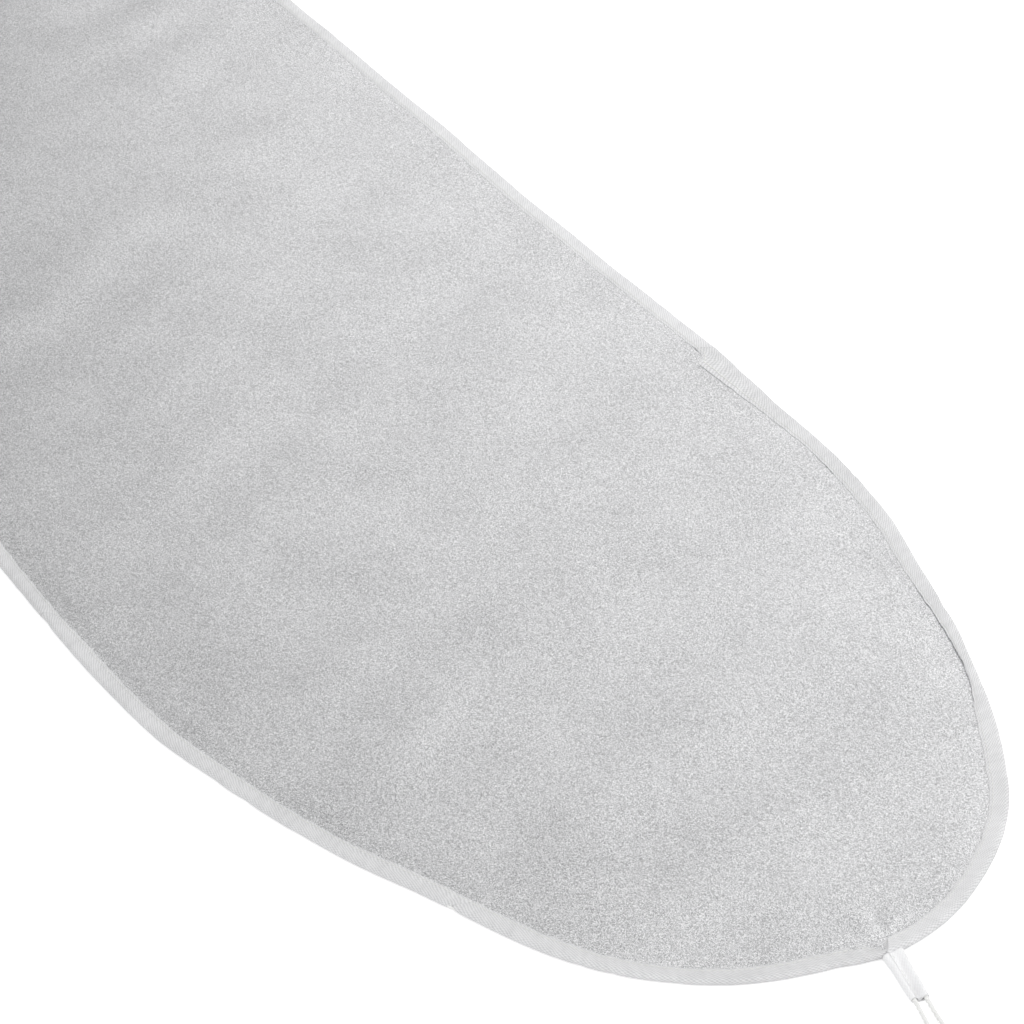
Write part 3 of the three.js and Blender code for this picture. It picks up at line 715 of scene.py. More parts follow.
# %% [markdown]
# ## The sewn hem
# The tape is folded over the raw edge and the cord: a round bead outside, two flat lips inside, and a seam just
# inside the lips' edge. One function bends all hem pieces alike, so that tape, stitches and cord stay together. It
# also draws in the left end at the tab, where the cord leaves, and lets a wide lip follow the cloth's slope.

# %% Shape of the hem
PINCH = 0.42
PINCH_RISE = 0.5
PINCH_START, PINCH_LENGTH = -8.0, 9.0
PINCH_END, PINCH_FADE = 2.0, 6.0
LIP_START = BEAD_RADIUS + 1
UPPER_BLEND = 0.4


def hem_points(s, inset, z):
    """Points of the hem at s along the edge, this far inside it and this high, with the sewing's unevenness."""
    s, inset, z = np.broadcast_arrays(*(np.asarray(v, float) for v in (s, inset, z)))
    place = from_nose(s)
    outer = 1 - smooth_step(inset / BINDING_WIDTH)
    upper = smooth_step((z - BEAD_RADIUS) / UPPER_BLEND)
    pinch = smooth_step((place - PINCH_START) / PINCH_LENGTH) * (1 - smooth_step((place - PINCH_END) / PINCH_FADE))

    lip = smooth_step((inset - LIP_START) / (BINDING_WIDTH - LIP_START)) ** 2 * upper
    inwards = inset * (1 - PINCH * pinch) + (along_edge(LIP_CHANGE, s) + waver(s, *LIP_WAVER)) * lip
    notch = sum(depth * np.exp(-((place - at) / length) ** 2) for at, length, depth in NOTCHES)
    inwards = inwards + (waver(s, *WANDER) + waver(s, *SHIVER) + notch) * outer

    free = smooth_step((inset - SEAM_INSET) / (BINDING_WIDTH - SEAM_INSET))
    middle = np.sin(math.pi * np.clip(inset / BINDING_WIDTH, 0, 1))
    rise = along_edge(LIP_FLARE, s) * free * (1 + waver(s, *FLARE_WAVES)) + waver(s, *SWELL) * outer
    rise = rise + along_edge(PUCKERED, s) * waver(s - inset / 2, *PUCKERS, period=None) * middle
    for at, length, crease_inset, width, depth in CREASES:
        rise = rise - depth * np.exp(-((place - at) / length) ** 2 - ((inset - crease_inset) / width) ** 2)
    rise = rise + (FLAT_CLOTH - HEM_CLOTH) * slope(inwards) + PINCH_RISE * pinch * outer

    points, outward = edge(s)
    flat = points - outward * inwards[..., None]
    return np.concatenate([flat, (z + upper * rise)[..., None]], -1)


print("hem at the nose", hem_points(0.0, 0.0, BEAD_RADIUS).round(1), "mm")

# %% [markdown]
# ## The folded tape's section
# The section is drawn once, flat, as a closed line: over the upper lip, round the bead, back along the lower lip, and
# then the same again on the tape's inner side. The upper lip dips a little at the seam and thins out to its edge.

# %% Section of the tape
BEAD_SLOPE_END = 9.6
SEAM_DIP = 0.08
SEAM_DIP_WIDTH = 0.6
LIP_EDGE = 0.16
LIP_POINTS = 18
BEAD_POINTS = 13


def bead_slope(inset):
    return smooth_step((inset - BEAD_RADIUS) / (BEAD_SLOPE_END - BEAD_RADIUS))


def lip_top(inset):
    """Height of the tape's upper face, from the bead inwards."""
    dip = SEAM_DIP * np.exp(-((inset - SEAM_INSET) / SEAM_DIP_WIDTH) ** 2)
    return BEAD_HEIGHT + (UPPER_LIP + TAPE - BEAD_HEIGHT) * bead_slope(inset) - dip


def folded_tape(depth):
    """Contour of the folded tape at this depth below its outer face: upper lip, bead, lower lip."""
    flat = np.linspace(BINDING_WIDTH, BEAD_RADIUS, LIP_POINTS)[:-1]
    thin = 1 - (1 - LIP_EDGE / TAPE) * smooth_step((flat - SEAM_INSET) / (BINDING_WIDTH - SEAM_INSET))
    turn = np.linspace(math.pi / 2, 3 * math.pi / 2, BEAD_POINTS)
    bead = BEAD_RADIUS + (BEAD_RADIUS - depth) * np.stack([np.cos(turn), np.sin(turn)], -1)
    upper = np.stack([flat, lip_top(flat) - TAPE + (TAPE - depth) * thin], -1)
    lower = np.stack([flat[::-1], LOWER_LIP * bead_slope(flat[::-1]) + depth], -1)
    return np.concatenate([upper, bead, lower])


TAPE_SECTION = np.concatenate([folded_tape(0), folded_tape(TAPE)[::-2]])

# %% [markdown]
# ## The binding's strips
# Bias tape is cut across the cloth in short lengths and joined end to end on the slant. Each strip is one sweep of
# the folded section. Its end rings are sheared by the bias angle, and a small swell near the join is the turned-in
# seam. At the nose the right strip ends round the left one, above and below it.

# %% Binding
TAPE_STEP = 1.4
NOSE_RIGHT_END = 1.5
NOSE_LEFT_END = 5.0
# The lit right side and the tail take the paler tape, the left side the greyer one with painted shade.
STRIPS = (
    ("nose_right", "middle", 615.0), ("side_right", "painted_lit", PERIMETER / 2 - 380),
    ("tail", "painted_lit", PERIMETER / 2 + 500), ("side_left", "painted_shade", PERIMETER - 571),
    ("flank_left", "painted_shade", PERIMETER - 228), ("nose_left", "painted_shade", PERIMETER + NOSE_LEFT_END),
)  # name, tape, end along the edge
JOIN_SWELL = 0.22
JOIN_REACH = 9.0
OVERLAP_RISE = 0.5
OVERLAP_BULGE = 0.5
BULGE_WIDTH = 4.0
UNDERLAP_RISE = 0.3
TOP_BLEND = 0.3


def tape_strip(name, tape, start, stop):
    rings = []
    inset, z = TAPE_SECTION.T
    top = smooth_step((z - BEAD_RADIUS) / TOP_BLEND)
    bulge = OVERLAP_BULGE * (1 - smooth_step(inset / BULGE_WIDTH)) if name == "nose_right" else 0
    for place in np.linspace(start, stop, max(2, round((stop - start) / TAPE_STEP)) + 1):
        at_start, at_stop = np.exp((start - place) / JOIN_REACH), np.exp((place - stop) / JOIN_REACH)
        at_end = max(at_start, at_stop)
        swell = JOIN_SWELL * top * at_end ** 3
        if name == "nose_right":
            swell = swell + OVERLAP_RISE * top * at_start
        if name == "nose_left":
            swell = swell + UNDERLAP_RISE * (1 - top) * at_stop
        slant = math.tan(BIAS) * inset * at_end
        rings.append(hem_points(place + slant, inset - bulge * at_start, z + swell))
    return sweep(f"binding_strip_{name}", np.array(rings), TAPE_CLOTHS[tape])


start = NOSE_RIGHT_END
for strip_name, tape, stop in STRIPS:
    strip = tape_strip(strip_name, tape, start, stop)
    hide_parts(f"binding_{strip_name}")
    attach(strip, "cover")
    start = stop
print("binding of", len(STRIPS), "strips")

# %% [markdown]
# ## Stitches
# A lock stitch shows as a row of short bars with small gaps: the needle thread on the face, the bobbin thread
# below. Each stitch is a thin rounded bar, bowed a little, with its ends sunk in the tape. All stitches of a row
# are one mesh, because the row is one thread.

# %% Stitches
STITCH_PITCH = 3.2
STITCH_LENGTH = 2.6
STITCH_SINK = 0.16
STITCH_RINGS = np.array([-1, -0.72, 0, 0.72, 1])
STITCH_WIDTHS = np.array([0.35, 0.9, 1, 0.9, 0.35])
STITCH_SIDES = 6


def stitch_row(name, starts, locate):
    """A row of stitches: locate gives points for distances along, offsets across and heights above the cloth."""
    turn = np.arange(STITCH_SIDES) * math.tau / STITCH_SIDES
    radius = THREAD / 2 * STITCH_WIDTHS[:, None]
    across = radius * np.cos(turn)
    height = radius * np.sin(turn) + (THREAD / 2 - STITCH_SINK * STITCH_RINGS ** 2)[:, None]
    verts, faces = [], []
    for start in starts:
        along = start + STITCH_LENGTH / 2 * (1 + STITCH_RINGS)
        rings = locate(np.repeat(along[:, None], STITCH_SIDES, 1), across, height)
        first = len(verts)
        verts.extend((rings.reshape(-1, 3) * MM).tolist())
        faces.extend(tuple(first + i for i in face) for face in swept_faces(len(STITCH_RINGS), STITCH_SIDES))
    mesh = bpy.data.meshes.new(name)
    mesh.from_pydata(verts, [], faces)
    return finish_mesh(name, mesh, SEWING_THREAD)


def on_face(s, across, height):
    return hem_points(s, SEAM_INSET + across, lip_top(SEAM_INSET) + height)


def on_underside(s, across, height):
    return hem_points(s, SEAM_INSET + across, LOWER_LIP - height)


stitch_count = round(PERIMETER / STITCH_PITCH)
stitch_starts = np.arange(stitch_count) * PERIMETER / stitch_count
for row_name, node_name, locate in (("needle_stitches", "needle_thread", on_face),
                                    ("bobbin_stitches", "bobbin_thread", on_underside)):
    row = stitch_row(row_name, stitch_starts, locate)
    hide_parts(node_name)
    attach(row, "cover")
print(stitch_count, "stitches a row")

# %% [markdown]
# ## Twisted cord
# The drawstring is a cotton cord of three plies. A plain tube would look like wire, so the tube's section has three
# lobes that turn as it goes, which gives the slanting grooves of a twist. The lobes stay within the cord's diameter,
# and a groove comes by every 3.2 mm. The length in the hem is hidden, so it does without grooves.

# %% Cord tube
CORD_SIDES = 18
PLIES = 3
GROOVE_STEP = 3.2
GROOVE = 0.3
CORD_STEP = 0.4
CURVE_STEPS = 16


def smooth_line(points, step):
    """A Catmull-Rom curve through the points, at even steps in mm."""
    points = np.asarray(points, float)
    padded = np.concatenate([[2 * points[0] - points[1]], points, [2 * points[-1] - points[-2]]])
    t = np.linspace(0, 1, CURVE_STEPS, endpoint=False)[:, None]
    pieces = []
    for p0, p1, p2, p3 in zip(padded, padded[1:], padded[2:], padded[3:]):
        pieces.append(0.5 * (2 * p1 + (p2 - p0) * t + (2 * p0 - 5 * p1 + 4 * p2 - p3) * t ** 2
                             + (3 * p1 - p0 - 3 * p2 + p3) * t ** 3))
    dense = np.concatenate(pieces + [points[-1:]])
    along = lengths_along(dense)
    places = np.linspace(0, along[-1], max(2, round(along[-1] / step)) + 1)
    return np.stack([np.interp(places, along, dense[:, axis]) for axis in range(3)], -1)


def cord_rings(line, diameter=CORD, groove=GROOVE, before=0.0):
    """Rings of a twisted cord round a line; the diameter is one number or one for each point.

    The twist runs on from the length of cord before the line, so that pieces end to end look like one cord.
    """
    tangent = np.gradient(line, axis=0)
    tangent /= np.linalg.norm(tangent, axis=1, keepdims=True)
    across = np.zeros_like(line)
    current = np.cross(tangent[0], (0, 0, 1.0))
    for i, direction in enumerate(tangent):
        current = current - direction * np.dot(current, direction)
        current = current / np.linalg.norm(current)
        across[i] = current
    up = np.cross(across, tangent)
    along = before + lengths_along(line)
    turn = np.arange(CORD_SIDES) * math.tau / CORD_SIDES
    lobes = np.cos(PLIES * turn[None, :] - math.tau * along[:, None] / GROOVE_STEP)
    radius = np.broadcast_to(diameter, len(line))[:, None] / 2 * (1 - groove * (0.5 - 0.5 * lobes) ** 2)
    return (line[:, None] + radius[..., None] * (np.cos(turn)[None, :, None] * across[:, None]
                                                 + np.sin(turn)[None, :, None] * up[:, None]))


print("cord of", PLIES, "plies, a turn each", GROOVE_STEP * PLIES, "mm")

# %% [markdown]
# ## The tab's own frame
# The tab points out of the nose, a little to one side. The cord runs, the tails and the coils are simplest to write
# along and across the tab, so a small function turns those points into the cover's frame.

# %% Tab frame
TAB_TURN = math.radians(-13)
TAB_LENGTH = 38.0
TAB_ROOT_WIDTH = 12.0
TAB_MOUTH_WIDTH = 10.0
CORD_ROOM = 0.3
CORD_INSET = TAPE + CORD_ROOM + CORD / 2
CHANNEL = TAB_MOUTH_WIDTH / 2 - CORD_INSET
CORD_HEIGHT = BEAD_HEIGHT / 2
EDGE_LEAN = math.tan(TAB_TURN)
TAB_PLACE = np.array([X_NOSE - NOSE_RADIUS + math.sqrt(NOSE_RADIUS ** 2 - TAB_OFFSET ** 2), TAB_OFFSET])
TAB_START = float(drift(TAB_OFFSET)) + LAYER_GAP


def from_tab(points):
    """Points along the tab, across it and up, turned into the cover's frame."""
    points = np.asarray(points, float)
    x = TAB_PLACE[0] + points[..., 0] * math.cos(TAB_TURN) - points[..., 1] * math.sin(TAB_TURN)
    y = TAB_PLACE[1] + points[..., 0] * math.sin(TAB_TURN) + points[..., 1] * math.cos(TAB_TURN)
    return np.stack([x, y, points[..., 2]], -1)


print("tab's mouth at", from_tab([TAB_LENGTH, 0, CORD_HEIGHT]).round(1), "mm")

# %% [markdown]
# ## Drawstring in the fold
# Inside the bead the cord runs all the way round the cover. At the tab both ends turn out through a window in the
# fold. It is hidden, but it is there, so that the open mouth of the tab and the window look right close up.

# %% Drawstring in the hem
TURN_LEG = 4.0
TURN_POINTS = 7
HEM_CORD_POINTS = 4.0
HEM_CORD_STEP = 1.6


def turn_corner(way):
    """How far along the tab the cord turns into the fold, on the side +1 or -1."""
    return TAB_START + way * CHANNEL * EDGE_LEAN - CORD_INSET / math.cos(TAB_TURN)


def turn_line(way):
    """The cord's turn from inside the tab to its place in the fold, and that place along the edge."""
    corner = np.array([turn_corner(way), way * CHANNEL, CORD_HEIGHT])
    inside_tab = from_tab(corner + [TURN_LEG, 0, 0])
    corner = from_tab(corner)
    place = math.asin(corner[1] / (NOSE_RADIUS - CORD_INSET)) * NOSE_RADIUS + way * TURN_LEG
    point, outward = edge(place)
    fold = np.append(point - CORD_INSET * outward, CORD_HEIGHT)
    t = np.linspace(0, 1, TURN_POINTS)[:, None]
    return (1 - t) ** 2 * inside_tab + 2 * t * (1 - t) * corner + t ** 2 * fold, place


def hem_cord_line():
    first, start = turn_line(1)
    last, stop = turn_line(-1)
    s = np.arange(start + HEM_CORD_POINTS, PERIMETER + stop - HEM_CORD_POINTS, HEM_CORD_POINTS)
    points, outward = edge(s)
    run = np.concatenate([points - CORD_INSET * outward, np.full((len(s), 1), CORD_HEIGHT)], -1)
    return smooth_line(np.concatenate([first, run, last[::-1]]), HEM_CORD_STEP)


hem_line = hem_cord_line()
hem_cord = sweep("drawstring_in_hem", cord_rings(hem_line, groove=0), COTTON_CORD)
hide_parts("drawstring")
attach(hem_cord, "cover")
print("cord in the hem", round(float(lengths_along(hem_line)[-1])), "mm")

# %% [markdown]
# ## The tab
# The tab is a short length of the same tape, folded to a flat sleeve. The two cords lie along its edges and show as
# two soft ridges with a valley between, which is deeper towards the mouth. The sleeve is a sweep whose section is
# worked out from those ridges, out along its outer face and back along its inner one.

# %% Tab
TAB_RINGS = 40
TAB_SECTION = 64
TAB_VALLEYS = (1.0, 2.85)
TAB_ROUND = 0.62
TAB_WAVE = 0.12
TAB_WAVES = 14
TAB_SIDE_WAVES = 9


def tab_half(share):
    return (TAB_ROOT_WIDTH * (1 - share) + TAB_MOUTH_WIDTH * share) / 2


def tab_wave(share, across):
    return TAB_WAVE * np.sin(TAB_WAVES * share + across)


def tab_height(across, half, share):
    """Height of the tab's upper face: over a cord near each edge, pressed down between them towards the mouth."""
    valley = TAB_VALLEYS[0] + (TAB_VALLEYS[1] - TAB_VALLEYS[0]) * smooth_step(share)
    out = np.clip(np.abs(across) / half, 0, 1)
    crown = BEAD_HEIGHT - valley * (1 - smooth_step(out / TAB_ROUND))
    past = np.clip((out - TAB_ROUND) / (1 - TAB_ROUND), 0, 1)
    return BEAD_RADIUS + (crown - BEAD_RADIUS) * np.sqrt(1 - past ** 2)


def tab_section(half, wall, share):
    """Closed contour of the sleeve, across and height, moved in by the wall."""
    turn = np.linspace(0, math.tau, TAB_SECTION, endpoint=False)
    across = (half - wall) * np.cos(turn)
    spread = across * half / (half - wall)
    rounded = np.abs(across) > TAB_ROUND * half
    low = np.where(rounded, 2 * BEAD_RADIUS - tab_height(spread, half, 0), 0)
    top = np.maximum(tab_height(spread, half, share) - wall, np.where(rounded, BEAD_RADIUS, TAPE + LAYER_GAP))
    return np.stack([across, np.where(np.sin(turn) >= 0, top, low + wall)], -1)


def along_tab(across, share, end):
    """Distances along the tab, from the hem's slanting edge at share 0 to the end at share 1."""
    return (TAB_START + across * EDGE_LEAN) * (1 - share) + end * share


def tab_ring(share, wall):
    half = tab_half(share) + TAB_WAVE * math.sin(share * TAB_SIDE_WAVES + 1)
    across, height = tab_section(half, wall, share).T
    z = height + tab_wave(share, across) * (height > BEAD_RADIUS)
    return from_tab(np.stack([along_tab(across, share, TAB_LENGTH), across, z], -1))


shares = np.linspace(0, 1, TAB_RINGS)
outer = [tab_ring(share, 0) for share in shares]
inner = [tab_ring(share, TAPE) for share in shares[::-1]]
tab = sweep("folded_tab", np.array(outer + inner), TAB_CLOTH, looped=True)
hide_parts("nose_tab")
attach(tab, "cover")

# %% [markdown]
# ## The tab's turned edge
# The tape's long edge is turned over on top of the sleeve and sewn down with one row of stitches. It is a second,
# thin strip that follows the sleeve's upper face.

# %% Turned edge and its stitches
FLAP = 0.18
FLAP_LIFT = 0.06
FLAP_START = 0.8
FLAP_EDGE, FLAP_EDGE_SHARE = 1.9, 0.75
FLAP_POINTS = 12
FLAP_SHORT = 0.6
FLAP_SEAM = 1.3
STITCH_BITE = 0.05
TAB_SEAM_ENDS = (3.0, 5.0)


def flap_edge(half):
    return FLAP_EDGE - half * FLAP_EDGE_SHARE


def flap_bottom(across, half, share):
    return tab_height(across, half, share) + FLAP_LIFT + tab_wave(share, across)


def flap_ring(share):
    """Section of the turned-over edge: from the tab's right edge over the top to the fold line."""
    half = tab_half(share)
    across = np.linspace(FLAP_START * half, flap_edge(half), FLAP_POINTS)
    bottom = flap_bottom(across, half, share)
    across = np.concatenate([across, across[::-1]])
    z = np.concatenate([bottom + FLAP, bottom[::-1]])
    return from_tab(np.stack([along_tab(across, share, TAB_LENGTH - FLAP_SHORT), across, z], -1))


def on_tab(along, across, height):
    share = along / TAB_LENGTH
    half = tab_half(share)
    place = flap_edge(half) + FLAP_SEAM + across
    z = flap_bottom(place, half, share) + FLAP + height - STITCH_BITE
    return from_tab(np.stack([along, place, z], -1))


flap = sweep("tab_turned_edge", np.array([flap_ring(share) for share in shares]), TAB_CLOTH)
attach(flap, "cover")
tab_starts = np.arange(TAB_START + TAB_SEAM_ENDS[0], TAB_LENGTH - TAB_SEAM_ENDS[1], STITCH_PITCH)
tab_stitches = stitch_row("tab_stitches", tab_starts, on_tab)
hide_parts("tab_thread")
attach(tab_stitches, "cover")
print(len(tab_starts), "stitches on the tab")

# %% [markdown]
# ## The two free ends
# Each end leaves the tab's mouth, drops to the floor, runs straight on, and the length that isn't in view is wound
# into a small tied coil, with a knot so that the end can't slip back into the hem. The points of the route are the
# maker's own. The loops of the coil are worked out by a formula, and lift where they cross the tie.

# %% Routes of the free ends
TAIL_ROUTE = [
    (38.15, 3.1, 1.9), (40, 3.1, 1.86), (42, 3.11, 1.76), (44.5, 3.14, 1.6), (47.5, 3.2, 1.42),
    (50.5, 3.28, 1.28), (53.5, 3.4, 1.21), (56.5, 3.54, 1.2), (60, 3.7, 1.2),
    (64, 3.84, 1.2), (68, 3.97, 1.2), (72, 4.07, 1.2), (76, 4.14, 1.2), (80, 4.18, 1.2),
    (84, 4.2, 1.2), (87.3, 4.2, 1.2),
]
COIL_RADIUS = 16.0
COIL_LOOPS = 2
LOOP_POINTS = 24
LOOP_GAP = 0.5
COIL_PITCH = CORD + LOOP_GAP
COIL_BEND = 5.5
BEND_POINTS = 6
TIE = 0.6
TIE_ROOM = 0.3
TIE_RISE = TIE + TIE_ROOM
TIE_SPREAD = math.radians(60)
TAIL_GAP = 0.3
COIL_X = TAIL_ROUTE[-1][0] + TAIL_GAP + CORD
COIL_MIDDLE = TAIL_ROUTE[-1][1] + COIL_RADIUS


def coil_radius(turn):
    return COIL_RADIUS - COIL_PITCH * turn / math.tau


def coil_line():
    """The coil on the +1 side: the loops, a bend to the middle, and a short straight to the knot."""
    points = []
    for turn in np.linspace(0, math.tau * COIL_LOOPS, LOOP_POINTS * COIL_LOOPS + 1):
        from_tie = abs(turn % math.tau - math.pi)
        rise = (1 + math.cos(math.pi * from_tie / TIE_SPREAD)) / 2 if from_tie < TIE_SPREAD else 0
        radius = coil_radius(turn)
        points.append((COIL_X + radius * math.sin(turn), COIL_MIDDLE - radius * math.cos(turn),
                       CORD / 2 + TIE_RISE * rise))
    bend_y = COIL_MIDDLE - coil_radius(math.tau * COIL_LOOPS) + COIL_BEND
    for turn in np.linspace(math.pi / 12, math.pi / 2, BEND_POINTS):
        points.append((COIL_X + COIL_BEND * math.sin(turn), bend_y - COIL_BEND * math.cos(turn), CORD / 2))
    points.append((COIL_X + COIL_BEND, bend_y + CORD, CORD / 2))
    return points


COIL = coil_line()
print("a free end has", len(TAIL_ROUTE), "points, its coil", len(COIL))

# %% [markdown]
# ## Knots
# The knot is a real overhand, the line of a trefoil, opened at one lobe: the cord comes in low, goes round, and
# leaves in a short stub. It is drawn tight, so the cord is a little thinner there, and the stub's end is rounded off.

# %% Knots
KNOT_SIZE = 0.95
KNOT_CORD = 2.1
KNOT_HEIGHT = 2.25
KNOT_WEAVE = 1.2
KNOT_TURN = np.radians(np.linspace(225, 495, 46))
KNOT_IN = ((4.75, -0.6, 1.2), (3.95, -0.62, 1.19), (2.95, -1.15, 1.12), (2.1, -1.65, 1.1), (1.5, -1.4, 1.25))
KNOT_OUT = ((-1.5, -1.4, 3.15), (-2.2, -1.85, 3.0), (-3.1, -1.9, 2.35), (-4.0, -1.75, 1.6), (-4.9, -1.7, 1.2))
KNOT_TAPER = 3.0
STUB = ((0.9, 1.0), (0.4, 0.85), (0.0, 0.4))  # mm before the end, share of the diameter


def mirrored(points, way):
    return np.asarray(points, float) * (1, way, 1)


def knot_line():
    """An overhand knot on the coil's end, along +Y of the tab's frame: in, round three lobes, and out to a stub."""
    t = KNOT_TURN
    lobes = np.stack([np.sin(t) + 2 * np.sin(2 * t), np.cos(t) - 2 * np.cos(2 * t),
                      KNOT_HEIGHT + KNOT_WEAVE * np.sin(3 * t)], -1)
    back, across, height = np.concatenate([KNOT_IN, lobes, KNOT_OUT]).T
    x = COIL[-1][0] + KNOT_SIZE * (across - KNOT_IN[0][1])
    y = COIL[-1][1] + KNOT_SIZE * (KNOT_IN[0][0] - back)
    return np.stack([x, y, height], -1)


def knot_rings(way, before):
    """Rings of the knot's cord: drawn thinner from the coil on, and rounded off at the stub's end."""
    line = smooth_line(from_tab(mirrored(knot_line(), way)), CORD_STEP)
    along = lengths_along(line)
    places = [0, KNOT_TAPER] + [along[-1] - short for short, share in STUB]
    diameters = [CORD, KNOT_CORD] + [share * KNOT_CORD for short, share in STUB]
    return cord_rings(line, np.interp(along, places, diameters), before=before)


print("knot of", round(float(lengths_along(knot_line())[-1])), "mm of cord")

# %% [markdown]
# ## Ties
# A tie is one flat strip of plastic with a wire down its middle: round the two loops of the coil, then its two ends
# out together and twisted, a little apart at their tips.

# %% Ties
TIE_WIDTH = 3.0
TIE_SECTION = (
    (-1, -0.4), (-0.8, -1), (0.8, -1), (1, -0.4), (1, 0.4), (0.8, 1), (0.3, 1), (0, 1.5), (-0.3, 1), (-0.8, 1),
    (-1, 0.4),
)
TIE_CORNER = 1.0
CORNER_POINTS = 5
TIE_NECK = 0.9
TIE_TWIST = 8.0
TIE_TURNS = 1.5
TIE_TIP_HEIGHT = 1.3
TWIST_POINTS = 22
STRANDS_APART = 0.36
TIPS_APART = 0.5
TIPS_FROM = 0.75
TWIST_NARROWER = 0.5
NARROWER_BY = 0.25


def tie_loop():
    """Round both loops at the coil's far side, up from the outer side: points in the plane across the coil."""
    room = CORD / 2 + TIE_ROOM + TIE / 2
    low, high = coil_radius(3 * math.pi) - room + TIE_CORNER, coil_radius(math.pi) + room - TIE_CORNER
    bottom, top = TIE / 2 + TIE_CORNER, TIE + CORD + 2 * TIE_ROOM + TIE / 2 - TIE_CORNER
    turn = np.linspace(0, math.pi / 2, CORNER_POINTS)
    arcs = []
    for quarter, (y, z) in enumerate(((high, top), (low, top), (low, bottom), (high, bottom))):
        angle = turn + quarter * math.pi / 2
        arcs.append(np.stack([y + TIE_CORNER * np.cos(angle), z + TIE_CORNER * np.sin(angle)], -1))
    y, z = np.concatenate(arcs).T
    return np.stack([np.full(len(y), COIL_X), COIL_MIDDLE + y, z], -1)


def tie_end(loop, strand):
    """One twisted end, from the loop outwards: its centres and half widths. The strands are +1 and -1."""
    share = np.linspace(0, 1, TWIST_POINTS)
    angle = math.tau * TIE_TURNS * share
    start = np.array([COIL_X, loop[:, 1].max() + TIE_NECK, (loop[0, 2] + loop[-1, 2]) / 2])
    axis = start + share[:, None] * np.array([0, TIE_TWIST, TIE_TIP_HEIGHT - start[2]])
    apart = strand * (STRANDS_APART + TIPS_APART * smooth_step((share - TIPS_FROM) / (1 - TIPS_FROM)))
    half_width = TIE_WIDTH / 2 - TWIST_NARROWER * smooth_step(share / NARROWER_BY)
    out = np.stack([-np.sin(angle), np.zeros_like(angle), np.cos(angle)], -1)
    wide = np.stack([np.cos(angle), np.zeros_like(angle), np.sin(angle)], -1)
    return axis + apart[:, None] * out, wide * half_width[:, None]


def twist_tie(name, way):
    loop = tie_loop()
    (upper, upper_wide), (lower, lower_wide) = tie_end(loop, 1), tie_end(loop, -1)
    centres = mirrored(np.concatenate([upper[::-1], loop, lower]), way)
    loop_wide = np.tile((TIE_WIDTH / 2, 0, 0), (len(loop), 1))
    wides = mirrored(np.concatenate([upper_wide[::-1], loop_wide, lower_wide]), way)
    normals = np.cross(np.gradient(centres, axis=0), wides)
    normals /= np.linalg.norm(normals, axis=1, keepdims=True)
    rings = [[centre + wide * a + normal * b * TIE / 2 for a, b in TIE_SECTION]
             for centre, wide, normal in zip(centres, wides, normals)]
    return sweep(name, from_tab(np.array(rings)), TIE_PLASTIC)


print("tie", TIE_WIDTH, "mm wide with ends", TIE_TWIST, "mm long")

# %% [markdown]
# ## Both free ends, put together
# The cord of each side is one tube from the tab's mouth to its knot, and a short run inside the tab that comes out
# when the string is pulled. Their twists run on from one to the next. Each free end's knot and tie go with it, on the
# same body.

# %% Cords, knots and ties
TAB_RUN_MIDDLE = 20.0

for label, way in (("right", 1), ("left", -1)):
    run_places = (turn_corner(way) + TURN_LEG, TAB_RUN_MIDDLE, TAIL_ROUTE[0][0])
    run = smooth_line(from_tab([(x, way * CHANNEL, CORD_HEIGHT) for x in run_places]), CORD_STEP)
    tab_run = sweep(f"cord_in_tab_{label}", cord_rings(run, before=-lengths_along(run)[-1]), COTTON_CORD)
    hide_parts(f"tab_cord_{label}")

    route = smooth_line(from_tab(mirrored(TAIL_ROUTE + COIL, way)), CORD_STEP)
    free_end = sweep(f"cord_end_{label}", cord_rings(route), COTTON_CORD)
    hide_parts(f"tail_{label}", f"coil_{label}")

    knot = sweep(f"overhand_knot_{label}", knot_rings(way, lengths_along(route)[-1]), COTTON_CORD)
    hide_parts(f"knot_{label}")
    tie = twist_tie(f"twist_tie_{label}", way)
    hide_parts(f"coil_tie_{label}")

    for piece, slot in ((tab_run, "cord"), (free_end, "cord"), (knot, "cord"), (tie, "tie")):
        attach(piece, "drawstring_ends")

# %% [markdown]
# ## Floor
# The cover lies on a plain white floor, as for a shop picture. The floor reaches far enough to be the background in
# every view, looks white there, and keeps a soft contact shadow: it glows only for rays that look at it, so the glow
# doesn't light the cover.

# %% Floor
FLOOR_SIZE = 60.0
FLOOR_DROP = 0.0002
FLOOR_GLOW = 0.5


def floor_material():
    material, tree, shader = start_material("matt white studio paper")
    path = node(tree, "ShaderNodeLightPath")
    seen = path.outputs["Is Camera Ray"]
    for ray in ("Is Glossy Ray", "Is Transmission Ray"):
        seen = node(tree, "ShaderNodeMath", {0: seen, 1: path.outputs[ray]}, operation="MAXIMUM").outputs[0]
    glow = node(tree, "ShaderNodeMath", {0: seen, 1: FLOOR_GLOW}, operation="MULTIPLY")
    fill(tree, shader, {
        "Base Color": linear("#efefef"), "Roughness": 1.0, "Specular IOR Level": 0.0,
        "Emission Color": (1, 1, 1, 1), "Emission Strength": glow.outputs[0]})
    return material


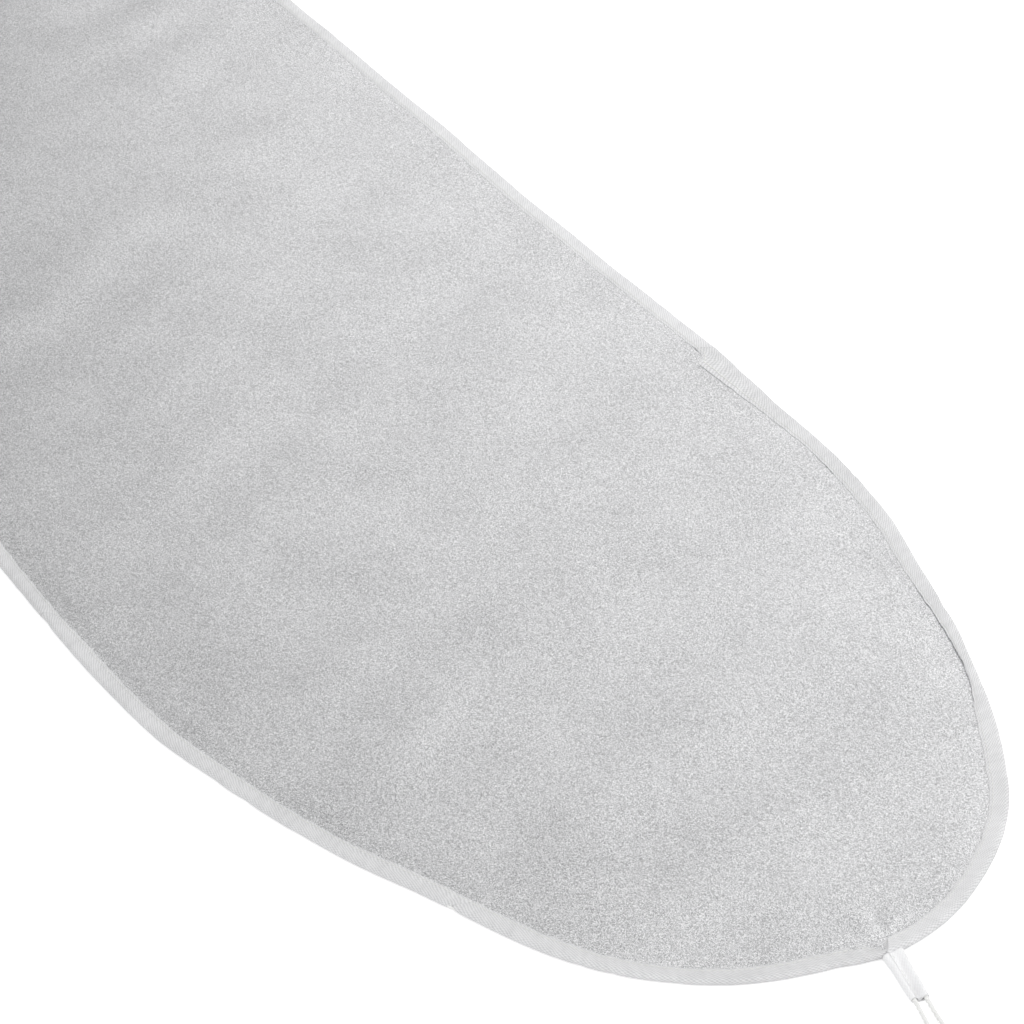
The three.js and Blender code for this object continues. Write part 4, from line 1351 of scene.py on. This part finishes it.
floor_mesh = bpy.data.meshes.new("floor")
corners = [(x * FLOOR_SIZE / 2, y * FLOOR_SIZE / 2, 0) for x, y in ((-1, -1), (1, -1), (1, 1), (-1, 1))]
floor_mesh.from_pydata(corners, [], [(0, 1, 2, 3)])
floor_mesh.materials.append(floor_material())
floor = bpy.data.objects.new("floor", floor_mesh)
floor.location.z = -FLOOR_DROP
scene.collection.objects.link(floor)
print("floor", FLOOR_SIZE, "m wide")

# %% [markdown]
# ## World and lamps
# The metallised cloth mirrors what stands across from the camera, so a long soft strip on the right gives it its fall
# of tone from right to left. A large lamp overhead and an even white world light tape and floor, a front lamp lifts
# the nose, and a low fill lights the side of the near edge.

# %% World and lamps
WORLD_STRENGTH = 0.56
LAMPS = (
    ("overhead softbox", (0.45, 0.6, 2.2), (0.45, 0.6, 0.0), (2.0, 2.0), 10.0),
    ("right strip softbox", (-0.28, 1.05, 0.7), (0.15, 0.0, 0.0), (2.7, 0.8), 5.8),
    ("front softbox", (1.5, 1.15, 1.1), (0.45, 0.1, 0.0), (0.9, 0.9), 7.0),
    ("left fill softbox", (1.25, -1.45, 0.5), (0.3, -0.18, 0.0), (2.0, 0.9), 9.0),
)  # name, place, aim, size in m, power in W

world = bpy.data.worlds.new("white studio")
world.use_nodes = True
world.node_tree.nodes.clear()
sky = node(world.node_tree, "ShaderNodeBackground", {"Color": (1, 1, 1, 1), "Strength": WORLD_STRENGTH})
node(world.node_tree, "ShaderNodeOutputWorld", {"Surface": sky.outputs["Background"]})
scene.world = world

for lamp_name, lamp_place, lamp_aim, lamp_size, power in LAMPS:
    lamp_data = bpy.data.lights.new(lamp_name, "AREA")
    lamp_data.shape = "RECTANGLE"
    lamp_data.size, lamp_data.size_y = lamp_size
    lamp_data.energy = power
    lamp = bpy.data.objects.new(lamp_name, lamp_data)
    lamp.location = lamp_place
    lamp.rotation_euler = (Vector(lamp_aim) - lamp.location).to_track_quat("-Z", "Y").to_euler()
    scene.collection.objects.link(lamp)
    print(lamp_name, lamp_size, "m,", power, "W")
